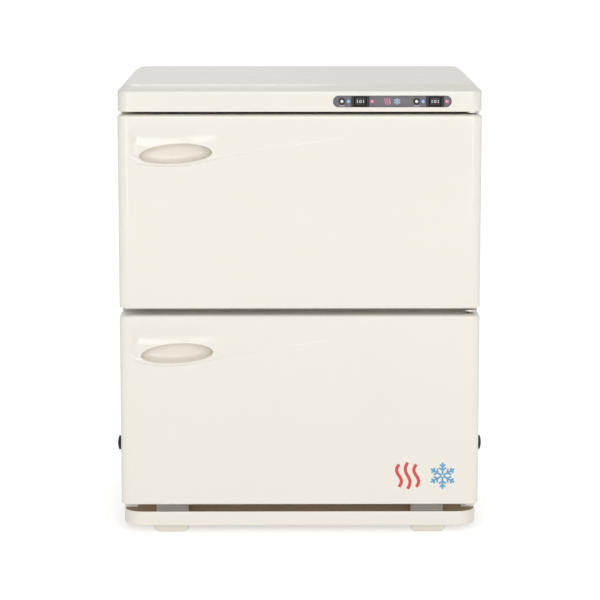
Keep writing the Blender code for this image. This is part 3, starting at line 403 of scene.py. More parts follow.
def make_looks():
    """All the finishes: name, colour, roughness, mottle, patch, grain, bump, and what differs.

    Uneven is how far the roughness varies; depth is that of the bumps.
    """
    cream = (0.866, 0.825, 0.752)
    worn_edges_dark_hollows = {"wear": (0.90, 0.88, 0.83), "hollow_colour": (0.62, 0.58, 0.50)}
    worn = {"wear": worn_edges_dark_hollows["wear"]}
    surface("cream_gloss", cream, 0.20, 0.012, 9, 420, 0.006, uneven=0.010, coat=0.35, **worn_edges_dark_hollows)
    # The cup's cream is a little lighter than the door's, to make up for the shade inside the pocket: painted
    # light
    surface("cup_cream_painted_light", shade(cream, 1.02), 0.24, 0.012, 9, 420, 0.006, uneven=0.02, coat=0.3, **worn)
    surface("cream_plastic", shade(cream, 0.96), 0.45, 0.02, 9, 1800, 0.12, **worn_edges_dark_hollows)
    surface("cream_paint", shade(cream, 0.98), 0.38, 0.015, 9, 620, 0.16, depth=0.0003, **worn_edges_dark_hollows)
    # The base pan's brown stands in for the shaded space under the cabinet, seen through the gap below the
    # lower door: painted shade
    surface("brown_paint", (0.30, 0.205, 0.125), 0.55, 0.12, 30, 500, 0.2, depth=0.0004)
    surface("grey_seal", (0.76, 0.68, 0.55), 0.65, 0.04, 40, 900, 0.2, hollow_colour=(0.5, 0.43, 0.33))

    drawn = {"metallic": 1, "uneven": 0.08}
    finned = {"metallic": 1, "uneven": 0.1}
    surface("liner_metal", (0.78, 0.79, 0.80), 0.32, 0.05, 9, 160, 0.06, stretch=(0.6, 9, 9), **drawn)
    surface("bright_metal", (0.76, 0.75, 0.72), 0.27, 0.06, 9, 300, 0.08, stretch=(1, 6, 6), **drawn)
    surface("sink_metal", (0.60, 0.61, 0.63), 0.45, 0.08, 9, 200, 0.1, stretch=(8, 8, 0.6), **finned)
    surface("pin_steel", (0.30, 0.29, 0.27), 0.45, 0.1, 90, 900, 0.1, metallic=1)

    surface("panel_grey", (0.128, 0.122, 0.140), 0.42, 0.10, 900, 2600, 0.15, wear=(0.2, 0.19, 0.21))
    surface("black_plastic", (0.009, 0.009, 0.010), 0.42, 0.2, 60, 2200, 0.15, wear=(0.06, 0.06, 0.06))
    surface("black_rubber", (0.018, 0.018, 0.018), 0.72, 0.2, 80, 1200, 0.25, wear=(0.07, 0.07, 0.065))
    surface("button_white", (0.86, 0.83, 0.80), 0.33, 0.03, 200, 2500, 0.1)
    surface("module_white", (0.84, 0.84, 0.82), 0.5, 0.03, 90, 1500, 0.15)
    surface("print_red", (0.66, 0.07, 0.06), 0.40, 0.08, 120, 1600, 0.1)
    surface("print_blue", (0.13, 0.36, 0.58), 0.40, 0.08, 120, 1600, 0.1)
    surface("print_pink", (0.80, 0.26, 0.42), 0.40, 0.08, 120, 1600, 0.1)
    surface("print_sky", (0.40, 0.55, 0.80), 0.40, 0.08, 120, 1600, 0.1)
    surface("print_white", (0.80, 0.80, 0.80), 0.40, 0.05, 120, 1600, 0.1)
    cells("white_foam", (0.90, 0.90, 0.88), 0.004, (0.70, 0.70, 0.68))
    circuit("heater_orange", (0.62, 0.26, 0.09), (0.30, 0.12, 0.05), 0.020)
    circuit("board_green", (0.05, 0.24, 0.11), (0.30, 0.42, 0.12), 0.006)
    lens("lamp_blue", (0.30, 0.45, 0.76), 0.10)
    lens("lamp_red", (0.82, 0.25, 0.42), 0.10)


# Mesh building


def add_rows(mesh, loops):
    """New vertices for each loop of points."""
    return [[mesh.verts.new(point) for point in loop] for loop in loops]


def skin(loops, ring=False):
    """A bmesh over a run of equal loops, capped at both ends or closed into a ring."""
    mesh = bmesh.new()
    rows = add_rows(mesh, loops)
    stitch(mesh, rows + rows[:1] if ring else rows, True)
    if not ring:
        mesh.faces.new(rows[0])
        mesh.faces.new(rows[-1])
    bmesh.ops.recalc_face_normals(mesh, faces=mesh.faces)
    return mesh


def stitch(mesh, rows, around):
    """Fill the strips between rows of vertices; around closes each row on itself."""
    for near, far in zip(rows, rows[1:]):
        count = len(near) if around else len(near) - 1
        for index in range(count):
            after = (index + 1) % len(near)
            mesh.faces.new((near[index], near[after], far[after], far[index]))


def vessel(inside, outside):
    """A closed shell from loops down its inside to the floor, and up its outside to the rim."""
    mesh = bmesh.new()
    near = add_rows(mesh, inside)
    far = add_rows(mesh, outside)
    stitch(mesh, near, True)
    mesh.faces.new(near[-1])
    stitch(mesh, far, True)
    mesh.faces.new(far[0])
    stitch(mesh, [far[-1], near[0]], True)
    bmesh.ops.recalc_face_normals(mesh, faces=mesh.faces)
    return mesh


def face_outwards(mesh, index, outwards):
    """Turn all faces so that one of them looks outwards."""
    bmesh.ops.recalc_face_normals(mesh, faces=mesh.faces)
    mesh.faces.ensure_lookup_table()
    if mesh.faces[index].normal.dot(outwards) < 0:
        bmesh.ops.reverse_faces(mesh, faces=mesh.faces)


def gather(meshes):
    """Put several closed shapes into one mesh."""
    whole = bmesh.new()
    for mesh in meshes:
        spare = bpy.data.meshes.new("spare")
        mesh.to_mesh(spare)
        mesh.free()
        whole.from_mesh(spare)
        bpy.data.meshes.remove(spare)
    return whole


def add_object(name, data):
    """A new object in the scene."""
    made = bpy.data.objects.new(name, data)
    bpy.context.scene.collection.objects.link(made)
    return made


def place(name, mesh):
    """An object of its own from a bmesh."""
    data = bpy.data.meshes.new(name)
    mesh.to_mesh(data)
    mesh.free()
    return add_object(name, data)


def settle(piece):
    """Give a piece the mesh that its modifiers make."""
    graph = bpy.context.evaluated_depsgraph_get()
    result = bpy.data.meshes.new_from_object(piece.evaluated_get(graph))
    piece.modifiers.clear()
    old = piece.data
    piece.data = result
    bpy.data.meshes.remove(old)


def thicken(piece, even=False):
    """Give an open sheet the thickness of a moulded skin, inwards."""
    wall = piece.modifiers.new("wall", "SOLIDIFY")
    wall.thickness = SKIN
    wall.offset = -1
    wall.use_even_offset = even


def carve(piece, tools, operation="DIFFERENCE"):
    """Cut a piece with closed bmeshes, or join them on to it."""
    cutters = [place(f"{piece.name}_tool", tool) for tool in tools]
    for cutter in cutters:
        modifier = piece.modifiers.new("cut", "BOOLEAN")
        modifier.operation = operation
        modifier.solver = "EXACT"
        modifier.object = cutter
    settle(piece)
    for cutter in cutters:
        data = cutter.data
        bpy.data.objects.remove(cutter)
        bpy.data.meshes.remove(data)


def show(piece, look, body="cabinet", slot=None, nodes=(), angle=38):
    """Finish a piece: its material, shading, body, and the solids that it stands for; the slot argument is
    not used.
    """
    piece.data.materials.clear()
    piece.data.materials.append(LOOKS[look])
    piece.data.shade_smooth()
    piece.data.set_sharp_from_angle(angle=radians(angle))
    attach(piece, body)
    if nodes:
        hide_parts(*nodes)


def fit(name, mesh, look, **finish):
    """A finished piece straight from a bmesh."""
    show(place(name, mesh), look, **finish)


def spread(start, end, count):
    """Evenly spaced values from start to end, both included."""
    return [start + (end - start) * step / (count - 1) for step in range(count)]


def ease(value):
    """Smooth step from 0 to 1."""
    value = min(max(value, 0.0), 1.0)
    return value * value * (3 - 2 * value)


def rounded(left, right, low, high, radius, far_radius=None, steps=8):
    """Outline of a rectangle; far_radius rounds the two corners on the high side."""
    far_radius = radius if far_radius is None else far_radius
    corners = (
        (left + radius, low + radius, radius, 180),
        (right - radius, low + radius, radius, 270),
        (right - far_radius, high - far_radius, far_radius, 0),
        (left + far_radius, high - far_radius, far_radius, 90),
    )
    outline = []
    for across, along, turn, start in corners:
        for step in range(steps + 1):
            angle = radians(start + 90 * step / steps)
            outline.append((across + turn * cos(angle), along + turn * sin(angle)))
    return outline


def bent(corners, closed=False, steps=5):
    """A flat path through (across, along, radius) corners, each rounded by its radius."""
    points = []
    for index, (across, along, radius) in enumerate(corners):
        here = Vector((across, along))
        at_end = not closed and index in (0, len(corners) - 1)
        if radius == 0 or at_end:
            points.append((across, along))
            continue
        back = (Vector(corners[index - 1][:2]) - here).normalized()
        ahead = (Vector(corners[(index + 1) % len(corners)][:2]) - here).normalized()
        half = back.angle(ahead) / 2
        middle = here + (back + ahead).normalized() * radius / sin(half)
        start = here + back * radius / tan(half) - middle
        end = here + ahead * radius / tan(half) - middle
        begin = atan2(start.y, start.x)
        sweep = (atan2(end.y, end.x) - begin + pi) % tau - pi
        for step in range(steps + 1):
            angle = begin + sweep * step / steps
            points.append((middle.x + radius * cos(angle), middle.y + radius * sin(angle)))
    return points


def upright(outline, y):
    """Stand a flat outline up, facing the front, at one y."""
    return [(x, y, z) for x, z in outline]


def level(outline, z):
    """Lay a flat outline down at one height."""
    return [(x, y, z) for x, y in outline]


def pane(x, z, half, tall, corner, y, steps=8):
    """Upright rounded rectangle round a middle point."""
    return upright(rounded(x - half, x + half, z - tall, z + tall, corner, steps=steps), y)


def slab(outline, low, high, fillet, stand, steps=4):
    """A plate with rounded rims; outline gives its flat points at an inset."""
    rim = []
    for step in range(steps + 1):
        angle = pi / 2 * step / steps
        rim.append((fillet * (1 - sin(angle)), fillet * (1 - cos(angle))))
    loops = [stand(outline(inset), low + rise) for inset, rise in rim]
    loops += [stand(outline(inset), high - rise) for inset, rise in reversed(rim)]
    return skin(loops)


def turns(count):
    """Angles of so many points round a circle."""
    return [tau * step / count for step in range(count)]


def lathe(stations, centre, axis, points=48, ring=False):
    """A round piece from (radius, distance along the axis) stations."""
    loops = []
    for radius, along in stations:
        loop = []
        for angle in turns(points):
            across = (radius * cos(angle), radius * sin(angle))
            offsets = {"X": (along, *across), "Y": (across[0], along, across[1]), "Z": (*across, along)}
            loop.append(Vector(centre) + Vector(offsets[axis]))
        loops.append(loop)
    return skin(loops, ring)


def box_mesh(low, high):
    """A plain block between two corners."""
    low = Vector(low)
    high = Vector(high)
    mesh = bmesh.new()
    size = Matrix.Diagonal((high - low).to_4d())
    bmesh.ops.create_cube(mesh, size=1, matrix=Matrix.Translation((low + high) / 2) @ size)
    return mesh


def headings(path):
    """Direction of a path at each of its points."""
    last = len(path) - 1
    return [path[min(index + 1, last)] - path[max(index - 1, 0)] for index in range(len(path))]


def rod(path, radius, across):
    """A round bar along a flat path; across is square to all of it."""
    path = [Vector(point) for point in path]
    loops = []
    for point, ahead in zip(path, headings(path)):
        up = across.cross(ahead.normalized())
        loops.append([point + (across * cos(angle) + up * sin(angle)) * radius for angle in turns(12)])
    return skin(loops)


# Doors


def scoop_edge(p):
    """How far below the door top the scoop ends: round the grip, then along the sweep."""
    reach = GRIP_P - SCOOP_LEFT
    along = (max(p, SCOOP_LEFT) - GRIP_P) / reach
    round_grip = (GRIP_HALF_HEIGHT + GRIP_LIP) * sqrt(max(0.0, 1 - along * along))
    round_grip += GRIP_Q - along * reach * tan(GRIP_TILT)
    run = max(0.0, (SWEEP_END - p) / (SWEEP_END - SWEEP_START))
    sweep = SWEEP_SHALLOW + (SWEEP_DEEP - SWEEP_SHALLOW) * run**SWEEP_POWER
    share = ease((p - GRIP_P + GRIP_HALF_HEIGHT) / GRIP_HALF_LENGTH)
    return round_grip + (sweep - round_grip) * share


def relief(p, q):
    """Depth of the scoop: a dip above the grip, a shelf round it, a fillet at its left, a crease below."""
    edge = scoop_edge(p)
    if p <= SCOOP_LEFT or q <= SCOOP_TOP or q >= edge:
        return 0.0
    across = (q - SCOOP_TOP) / (edge - SCOOP_TOP)
    first, second, third, last = SCOOP_TURNS
    dip = SCOOP_DIP * ease(across / first)
    dip -= (SCOOP_DIP - SCOOP_SHELF) * ease((across - first) / (second - first))
    dip -= SCOOP_SHELF * ease((across - third) / (last - third))
    far = ease((p - GRIP_P) / SCOOP_REACH)
    rest = SCOOP_REST + (SWEEP_REST - SCOOP_REST) * far
    crease = rest * across * exp((q - edge) / SWEEP_RUN)
    wall = 1 - max(1 - (p - SCOOP_LEFT) / SCOOP_FILLET, 0.0) ** SCOOP_WALL
    fade = 1 - ease((p - SWEEP_START) / SWEEP_FADE)
    step = ease((edge - q) / SCOOP_STEP)
    return (dip * (1 - far) + crease) * wall * fade * step


def add_rolls(places, end):
    """Places across the face as (roll, place); roll runs to -1 and 1 over the rounded edges at its ends."""
    rolls = [sin(pi / 2 * (1 - step / EDGE_STEPS)) for step in range(EDGE_STEPS)]
    flat = [(0.0, spot) for spot in places]
    return [(-roll, 0.0) for roll in rolls] + flat + [(roll, end) for roll in reversed(rolls)]


def face_columns():
    """Columns of the door face, crowded at the scoop's left wall."""
    wall = [SCOOP_LEFT - COLUMN_GUARD, *spread(SCOOP_LEFT, SCOOP_LEFT + SCOOP_FILLET, WALL_COLUMNS)]
    grip = spread(wall[-1], SWEEP_START, GRIP_COLUMNS)[1:]
    sweep = spread(SWEEP_START, WIDTH - EDGE_SIDE, SWEEP_COLUMNS)[1:]
    return add_rolls([EDGE_SIDE, *wall, *grip, *sweep], WIDTH)


def face_rows(p):
    """Rows of one column, crowded where the scoop ends."""
    edge = scoop_edge(p)
    slope = spread(SCOOP_TOP, edge - SCOOP_STEP, SLOPE_ROWS)
    step = spread(edge - SCOOP_STEP, edge, STEP_ROWS)[1:]
    flat = [edge + ROW_GUARD, *spread(edge + SCOOP_STEP, DOOR_HEIGHT - EDGE_TOP, FLAT_ROWS)]
    return add_rolls([EDGE_TOP, *slope, *step, *flat], DOOR_HEIGHT)


def face_point(column, row, top):
    """A point of the door face; the two rolls are mapped on to a rounded corner."""
    side, p = column
    end, q = row
    across = side * sqrt(1 - end * end / 2)
    down = end * sqrt(1 - side * side / 2)
    if side:
        p = EDGE_SIDE * (1 - abs(across)) if side < 0 else WIDTH - EDGE_SIDE * (1 - across)
    if end:
        q = EDGE_TOP * (1 - abs(down)) if end < 0 else DOOR_HEIGHT - EDGE_TOP * (1 - down)
    roll = EDGE_DEPTH * (1 - sqrt(max(0.0, 1 - across * across - down * down)))
    return (p - WIDTH / 2, FRONT + PRINT + roll + relief(p, q), top - q)


def grip_loop(grow, scale, depth, top, on_face=False):
    """Oval of the grip, grown and scaled, at a depth or that far below the door face."""
    length = (GRIP_HALF_LENGTH + grow) * scale
    height = (GRIP_HALF_HEIGHT + grow) * scale
    crown = (GRIP_HALF_HEIGHT + GRIP_CROWN + grow) * scale
    loop = []
    for angle in turns(GRIP_POINTS):
        along = length * cos(angle)
        rise = sin(angle) * (crown if angle < pi else height)
        p = GRIP_P + along * cos(GRIP_TILT) - rise * sin(GRIP_TILT)
        q = GRIP_Q - along * sin(GRIP_TILT) - rise * cos(GRIP_TILT)
        back = depth
        if on_face:
            bead = 1 - max(sin(angle), 0.0) if depth < 0 else 1
            back = depth * bead + relief(p, q)
        loop.append((p - WIDTH / 2, FRONT + PRINT + back, top - q))
    return loop


def door_face(row, top):
    """Moulded skin: sculpted face with soft creases, rolled edges and plain side walls."""
    columns = face_columns()
    lines = []
    for column in columns:
        lines.append([face_point(column, spot, top) for spot in face_rows(column[1])])
    mesh = bmesh.new()
    stitch(mesh, add_rows(mesh, lines), False)
    rim = [edge for edge in mesh.edges if edge.is_boundary]
    for item in bmesh.ops.extrude_edge_only(mesh, edges=rim)["geom"]:
        if isinstance(item, bmesh.types.BMVert):
            item.co.y = DOOR_BACK
    # Any face away from the rolled edges shows which way is out
    face_outwards(mesh, len(columns) * 8, Vector((0, -1, 0)))
    face = place(f"{row}_door_shell", mesh)
    thicken(face, even=True)
    tools = [skin([grip_loop(0, 1, depth, top) for depth in (-EDGE_DEPTH, 3 * EDGE_DEPTH)])]
    for z in (top - DOOR_HEIGHT, top):
        stations = [(PIN_RADIUS + GAP, -PIN_BORE), (PIN_RADIUS + GAP, PIN_BORE)]
        tools.append(lathe(stations, (PIVOT_X, PIVOT_Y, z), "Z", 24))
    carve(face, tools)
    show(face, "cream_gloss", body=f"{row}_door", nodes=[f"{row}_door_skin"], angle=50)


def build_grip(row, top):
    """The grip pocket as one closed shell: seat, lip, inside, floor and outside."""
    # How far outside the oval, and how far below the door face
    lip = [
        (-0.0002, 0.0040),
        (-0.0001, 0.0006),
        (0.0020, 0.0003),
        (0.0019, -0.0001),
        (0.0016, -0.0004),
        (0.0011, -0.0006),
        (0.0005, -0.0005),
        (0.0000, -0.0002),
        (-0.0003, 0.0005),
        (-0.0005, 0.0018),
    ]
    bowl = []
    for step in range(BOWL_STEPS):
        angle = pi / 2 * step / (BOWL_STEPS + 0.5)
        scale = cos(angle) ** (2 / GRIP_BOWL)
        bowl.append((scale, GRIP_RIM + (GRIP_DEPTH - GRIP_RIM) * sin(angle) ** (2 / GRIP_BOWL)))
    inside = [grip_loop(grow, 1, depth, top, on_face=True) for grow, depth in lip]
    inside += [grip_loop(GRIP_INSET - GRIP_WALL, scale, depth, top) for scale, depth in bowl]
    outside = [grip_loop(GRIP_INSET, scale, depth + GRIP_WALL, top) for scale, depth in reversed(bowl)]
    finish = {"body": f"{row}_door", "slot": "cream_gloss", "nodes": [f"{row}_grip_cup"], "angle": 70}
    # The pocket's lighter cream is painted light for the inside of the pocket
    fit(f"{row}_grip_pocket", vessel(inside, outside), "cup_cream_painted_light", **finish)


def mouth_loop(middle, grow, y, corner=None, steps=10):
    """Outline of a chamber's mouth, grown all round."""
    corner = CHAMBER_CORNER + grow if corner is None else corner
    return pane(0, middle, CHAMBER_HALF + grow, CHAMBER_TALL + grow, corner, y, steps)


def door_inside(row, top):
    """Inner panel with its plug, and the bellows seal round it."""
    middle = top - DOOR_HEIGHT / 2
    body = f"{row}_door"
    edge = SKIN + GAP

    def mouth(margin, y):
        corner = max(CHAMBER_CORNER - margin * 0.5, 0.003)
        return mouth_loop(middle, -margin, y, corner, 8)

    def outline(inset, y):
        half = WIDTH / 2 - edge - inset
        low = top - DOOR_HEIGHT + edge + inset
        high = top - edge - inset
        return upright(rounded(-half, half, low, high, EDGE_SIDE - inset), y)

    # How far inside the chamber mouth, how far behind the door, and the fold's radius
    plug = [(0.060, PLUG_RISE, 0), (0.0135, PLUG_RISE, 0.003), (0.010, 0, 0.0025), (-0.004, 0, 0)]
    rim = ((0.001, 0), (0.0003, 0.0003), (0, 0.001), (0, 0.0025))
    loops = [mouth(margin, DOOR_BACK + rise) for margin, rise in bent(plug)]
    loops += [outline(inset, DOOR_BACK - fall) for inset, fall in rim]
    fit(f"{row}_door_lining", skin(loops), "cream_plastic", body=body, nodes=[f"{row}_door_inner_panel"])

    near = DOOR_BACK + GAP
    far = FRAME_LOW.y - GAP
    foot = near + (far - near) * 0.35
    waist = near + (far - near) * 0.5
    profile = [
        (-0.006, near, 0.0006),
        (-0.016, near, 0.0006),
        (-0.016, foot, 0.0006),
        (-0.0145, waist, 0.0003),
        (-0.0145, far, 0.0010),
        (-0.0075, far, 0.0010),
        (-0.0075, waist, 0.0003),
        (-0.006, foot, 0.0006),
    ]
    loops = [mouth(margin, y) for margin, y in bent(profile, closed=True, steps=4)]
    fit(f"{row}_door_gasket", skin(loops, ring=True), "grey_seal", body=body, nodes=[f"{row}_door_seal"])


def build_doors():
    for row in ROWS:
        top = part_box(f"{row}_door_skin")[1].z
        door_face(row, top)
        build_grip(row, top)
        door_inside(row, top)


# Printed marks


def strip(points, width, low, high):
    """A thin raised line along flat (x, z) points, from y low to y high."""
    points = [Vector(point) for point in points]
    left = []
    right = []
    for point, ahead in zip(points, headings(points)):
        side = Vector((-ahead.y, ahead.x)).normalized() * width / 2
        left.append(point + side)
        right.append(point - side)
    outline = [tuple(point) for point in left + right[::-1]]
    return skin([upright(outline, low), upright(outline, high)])


def steam(centre, size, face):
    """Three rising wavy lines, the outer two shorter."""
    shapes = []
    for offset in (-WAVE_APART, 0.0, WAVE_APART):
        points = []
        for share in spread(-0.5, 0.5, 25):
            sway = WAVE_SWAY * sin(tau * (share + 0.5)) * size
            rise = share * size * (1 - abs(offset) * WAVE_SHORTER)
            points.append((centre[0] + offset * size + sway, centre[1] + rise))
        shapes.append(strip(points, size * WAVE_WIDTH, face - PRINT, face + PRINT))
    return gather(shapes)


def snowflake(centre, size, face):
    """A plain six-armed ice crystal; each line lies a hair deeper than the one before."""
    shapes = []
    for arm in range(6):
        turn = Matrix.Rotation(pi / 3 * arm, 2)
        lines = [[(0, 0.04), (0, 0.5)]]
        for reach, side in ((0.2, 0.13), (0.34, 0.1)):
            lines.append([(-side, reach + side * 0.8), (0, reach), (side, reach + side * 0.8)])
        for line in lines:
            points = [Vector(centre) + turn @ Vector(point) * size for point in line]
            near = face - PRINT + (len(shapes) + 1) * CRYSTAL_LAYER
            shapes.append(strip(points, size * CRYSTAL_WIDTH, near, face + PRINT))
    return gather(shapes)


def build_marks():
    """Pictograms for hot and cold on the lower door and, small, on the control panel."""
    door_marks = (("hot", steam, "print_red", HOT_X), ("cold", snowflake, "print_blue", COLD_X))
    for name, shape, look, x in door_marks:
        mark = shape((x, DOOR_MARK_Z), DOOR_MARK, FRONT + PRINT)
        fit(f"lower_door_{name}_mark", mark, look, body="lower_door", slot="cream_gloss")
    panel_marks = (("hot", steam, "print_pink", -1), ("cold", snowflake, "print_sky", 1))
    for name, shape, look, sign in panel_marks:
        mark = shape((PANEL_X + sign * PANEL_MARK_X, PANEL_Z), PANEL_MARK, PANEL_FACE)
        fit(f"panel_{name}_mark", mark, look, slot="panel_grey")


# Controls


def build_controls():
    for side in SIDES:
        switch(side)
        rocker(side)
        breaker(side)
        for tint in ("blue", "red"):
            indicator(side, tint)


def indicator(side, tint):
    """A small domed lens on the panel."""
    name = f"{side}_{tint}_lamp"
    low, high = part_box(name)
    middle = (low + high) / 2
    radius = (high.x - low.x) / 2
    foot = PANEL_FACE - radius * 0.05
    dome = [(radius, high.y), (radius, PANEL_FACE), (radius, foot)]
    for step in range(1, 7):
        angle = pi / 2 * step / 6.5
        dome.append((radius * cos(angle), foot - (foot - low.y) * sin(angle)))
    mesh = lathe(dome, (middle.x, 0, middle.z), "Y", 32)
    fit(f"{side}_{tint}_lens", mesh, f"lamp_{tint}", nodes=[name], angle=60)


def switch(side):
    """Housing of a rocker switch: a body behind the panel, and a bezel with a well."""
    name = f"{side}_switch_housing"
    low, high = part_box(name)
    middle = (low + high) / 2
    half = (high.x - low.x) / 2
    tall = (high.z - low.z) / 2
    bezel_back = PANEL_FACE - GAP
    sections = [
        (*SWITCH_BODY, high.y),
        (*SWITCH_BODY, bezel_back),
        (half, tall, bezel_back),
        (half, tall, low.y + 0.0005),
        (half - 0.0001, tall - 0.0001, low.y + 0.0002),
        (half - 0.0005, tall - 0.0005, low.y),
        (*SWITCH_MOUTH, low.y),
        (*SWITCH_WELL, low.y + 0.0006),
        (*SWITCH_WELL, low.y + SWITCH_DEPTH),
    ]
    loops = [pane(middle.x, middle.z, wide, rise, 0.0008, y, 4) for wide, rise, y in sections]
    fit(f"{side}_switch_case", skin(loops), "black_plastic", nodes=[name])


def rocker(side):
    """Dished rocker with a bar at each end and a ring between them."""
    name = f"{side}_rocker"
    low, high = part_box(name)
    x = (low.x + high.x) / 2
    z = (low.z + high.z) / 2
    reach = (high.x - low.x) / 2
    front_end = low.y + 0.002

    def dished(across):
        return low.y + ROCKER_DISH * (1 - across * across)

    outline = [(x + reach * across, dished(across)) for across in spread(-1, 1, 13)]
    outline += [(x + reach * 0.75, high.y), (x - reach * 0.75, high.y)]

    def paddle(inset):
        shrink = 1 - inset / reach
        return [(x + (px - x) * shrink, py + (inset if py < front_end else 0)) for px, py in outline]

    mesh = slab(paddle, low.z, high.z, 0.0003, level)
    fit(f"{side}_switch_rocker", mesh, "black_plastic", body=name, nodes=[name])

    marks = []
    # The bar at the left end is a painted highlight where the rocker's edge catches the light; the right bar
    # and the ring are print
    for across in (-0.62, 0.62):
        spot = x + reach * across
        y = dished(across)
        bar = [(spot, z - BAR_HALF), (spot, z + BAR_HALF)]
        marks.append(strip(bar, BAR_WIDTH, y - MARK_OUT, y + MARK_IN))
    near = dished(0) - MARK_OUT
    far = dished(0) + MARK_IN
    inner, outer = MARK_RING
    stations = [(inner, near), (outer, near), (outer, far), (inner, far)]
    marks.append(lathe(stations, (x, 0, z), "Y", 32, ring=True))
    fit(f"{side}_rocker_print_and_highlight", gather(marks), "print_white", body=name, slot="button_white")


def breaker(side):
    """Press-to-reset breaker: a ringed bush, its button, and a pale mark on the panel below it."""
    name = f"{side}_reset_bush"
    low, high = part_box(name)
    x = (low.x + high.x) / 2
    ring = (high.x - low.x) / 2
    face = PANEL_FACE - GAP
    neck = face + 0.005
    stations = [
        (ring, high.y),
        (ring, neck),
        (BUSH_NECK, neck),
        (BUSH_NECK, face),
        (ring, face),
        (ring, face - 0.0005),
        (ring * 0.97, face - 0.0009),
        (ring * 0.90, low.y),
        (BUSH_BORE + 0.0002, low.y),
        (BUSH_BORE, low.y + 0.0002),
        (BUSH_BORE, high.y - 0.009),
    ]
    bush = lathe(stations, (x, 0, PANEL_Z), "Y")
    fit(f"{side}_breaker_bush", bush, "black_plastic", nodes=[name])

    name = f"{side}_reset_button"
    low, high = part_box(name)
    radius = (high.x - low.x) / 2
    stations = [
        (radius, high.y),
        (radius, low.y + 0.0004),
        (radius * 0.93, low.y + 0.0001),
        (radius * 0.8, low.y),
        (radius * 0.3, low.y + 0.0001),
    ]
    button = lathe(stations, (x, 0, PANEL_Z), "Y", 32)
    fit(f"{side}_breaker_button", button, "button_white", body=f"{side}_reset", nodes=[name])

    below = PANEL_Z - BREAKER_MARK_DROP
    line = [(x - BREAKER_MARK_HALF, below), (x + BREAKER_MARK_HALF, below)]
    mark = strip(line, BREAKER_MARK_WIDTH, PANEL_FACE - PRINT / 2, PANEL_FACE + PRINT)
    fit(f"{side}_breaker_mark", mark, "print_white", slot="panel_grey")


# Cover, body and base


def build_cover():
    """Top cover as a shell: flat top, sloping crown, fascia, and the opening of the control panel."""
    low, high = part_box("top_cover")
    hem_top = low.z + 0.002
    profile = [
        (0.070, high.z, 0),
        (CROWN_FRONT, high.z, 0.008),
        (0, FASCIA_TOP, 0.0032),
        (0, low.z, 0.0010),
        (PANEL_LAP, low.z, 0),
    ]

    def plan(inset, z):
        side = inset * CROWN_SIDE / CROWN_FRONT if z > hem_top else inset
        corner = COVER_CORNER if z > hem_top else max(COVER_CORNER - inset, 0.004)
        return level(rounded(low.x + side, high.x - side, low.y + inset, high.y - side, corner, steps=10), z)

    mesh = bmesh.new()
    rows = add_rows(mesh, [plan(inset, z) for inset, z in bent(profile, steps=8)])
    stitch(mesh, rows, True)
    mesh.faces.new(rows[0])
    face_outwards(mesh, -1, Vector((0, 0, 1)))
    cover = place("cover_shell", mesh)
    thicken(cover)
    settle(cover)

    half = (PANEL_HIGH.x - PANEL_LOW.x) / 2 - PANEL_LAP + GAP
    tall = (PANEL_HIGH.z - PANEL_LOW.z) / 2 - PANEL_LAP + GAP
    opening = []
    for grow, depth in ((0.0005, -0.001), (0.0005, -0.0001), (0.0, 0.0004), (0.0, 0.008)):
        wide = half + grow
        rise = tall + grow
        opening.append(pane(PANEL_X, PANEL_Z, wide, rise, rise * 0.98, FRONT + depth, 12))
    carve(cover, [skin(opening)])
    show(cover, "cream_gloss", nodes=["top_cover"])


def build_body():
    side_panels()
    frame_piece()
    rear_sheet()
    for row in ROWS:
        chamber(row)
        rack(row)
    for side in SIDES:
        bumper(side)
    gland()


def side_panels():
    """Bent sheets with rounded folds."""
    for side, sign in (("left", -1), ("right", 1)):
        name = f"{side}_side_panel"
        low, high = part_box(name)
        outer = sign * max(abs(low.x), abs(high.x))
        lip = sign * min(abs(low.x), abs(high.x))
        inner = outer - sign * SHEET
        path = [
            (lip, low.y, 0),
            (outer, low.y, SIDE_BEND),
            (outer, high.y, SIDE_BEND),
            (lip, high.y, 0),
            (lip, high.y - SHEET, 0),
            (inner, high.y - SHEET, SIDE_BEND - SHEET),
            (inner, low.y + SHEET, SIDE_BEND - SHEET),
            (lip, low.y + SHEET, 0),
        ]
        outline = bent(path, closed=True)
        mesh = skin([level(outline, low.z), level(outline, high.z)])
        fit(f"{side}_side_sheet", mesh, "cream_paint", nodes=[name])


def chamber_middle(row):
    low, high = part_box(f"{row}_liner")
    return (low.z + high.z) / 2


def upright_plate(low, high, corner, fillet, steps=4):
    """A plate that fills a box, with rounded corners and rims."""

    def outline(inset):
        return rounded(low.x + inset, high.x - inset, low.z + inset, high.z - inset, corner - inset)

    return slab(outline, low.y, high.y, fillet, upright, steps)


def frame_piece():
    """Front frame round the chamber mouths, with a recess for the centre hinge."""
    front = FRAME_LOW.y
    piece = place("mouth_frame", upright_plate(FRAME_LOW, FRAME_HIGH, 0.003, 0.001))
    flare = [
        (0.003, front - 0.001),
        (0.0018, front + 0.0002),
        (0.0005, front + 0.0012),
        (0, front + 0.003),
        (0, FRAME_HIGH.y + 0.01),
    ]
    tools = []
    for row in ROWS:
        middle = chamber_middle(row)
        tools.append(skin([mouth_loop(middle, grow, y) for grow, y in flare]))
    low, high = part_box("centre_hinge")
    recess = (low.x - GAP, front - 0.001, low.z - GAP)
    tools.append(box_mesh(recess, (high.x + GAP, high.y + GAP, high.z + GAP)))
    carve(piece, tools)
    show(piece, "cream_plastic", nodes=["front_frame"])


def rear_sheet():
    """Rear sheet with round-ended air slots."""
    low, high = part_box("rear_panel")
    panel = place("rear_sheet", upright_plate(low, high, 0.004, 0.0004, 2))
    ends = (low.y - 0.01, high.y + 0.01)
    slots = []
    for row in ROWS:
        middle = chamber_middle(row)
        for step in range(-3, 4):
            z = middle + step * SLOT_PITCH
            slots.append(skin([pane(0, z, SLOT_HALF, SLOT_TALL, SLOT_TALL * 0.98, y, 6) for y in ends]))
    carve(panel, [gather(slots)])
    show(panel, "cream_paint", nodes=["rear_panel"])
    rear_screws(low, high)


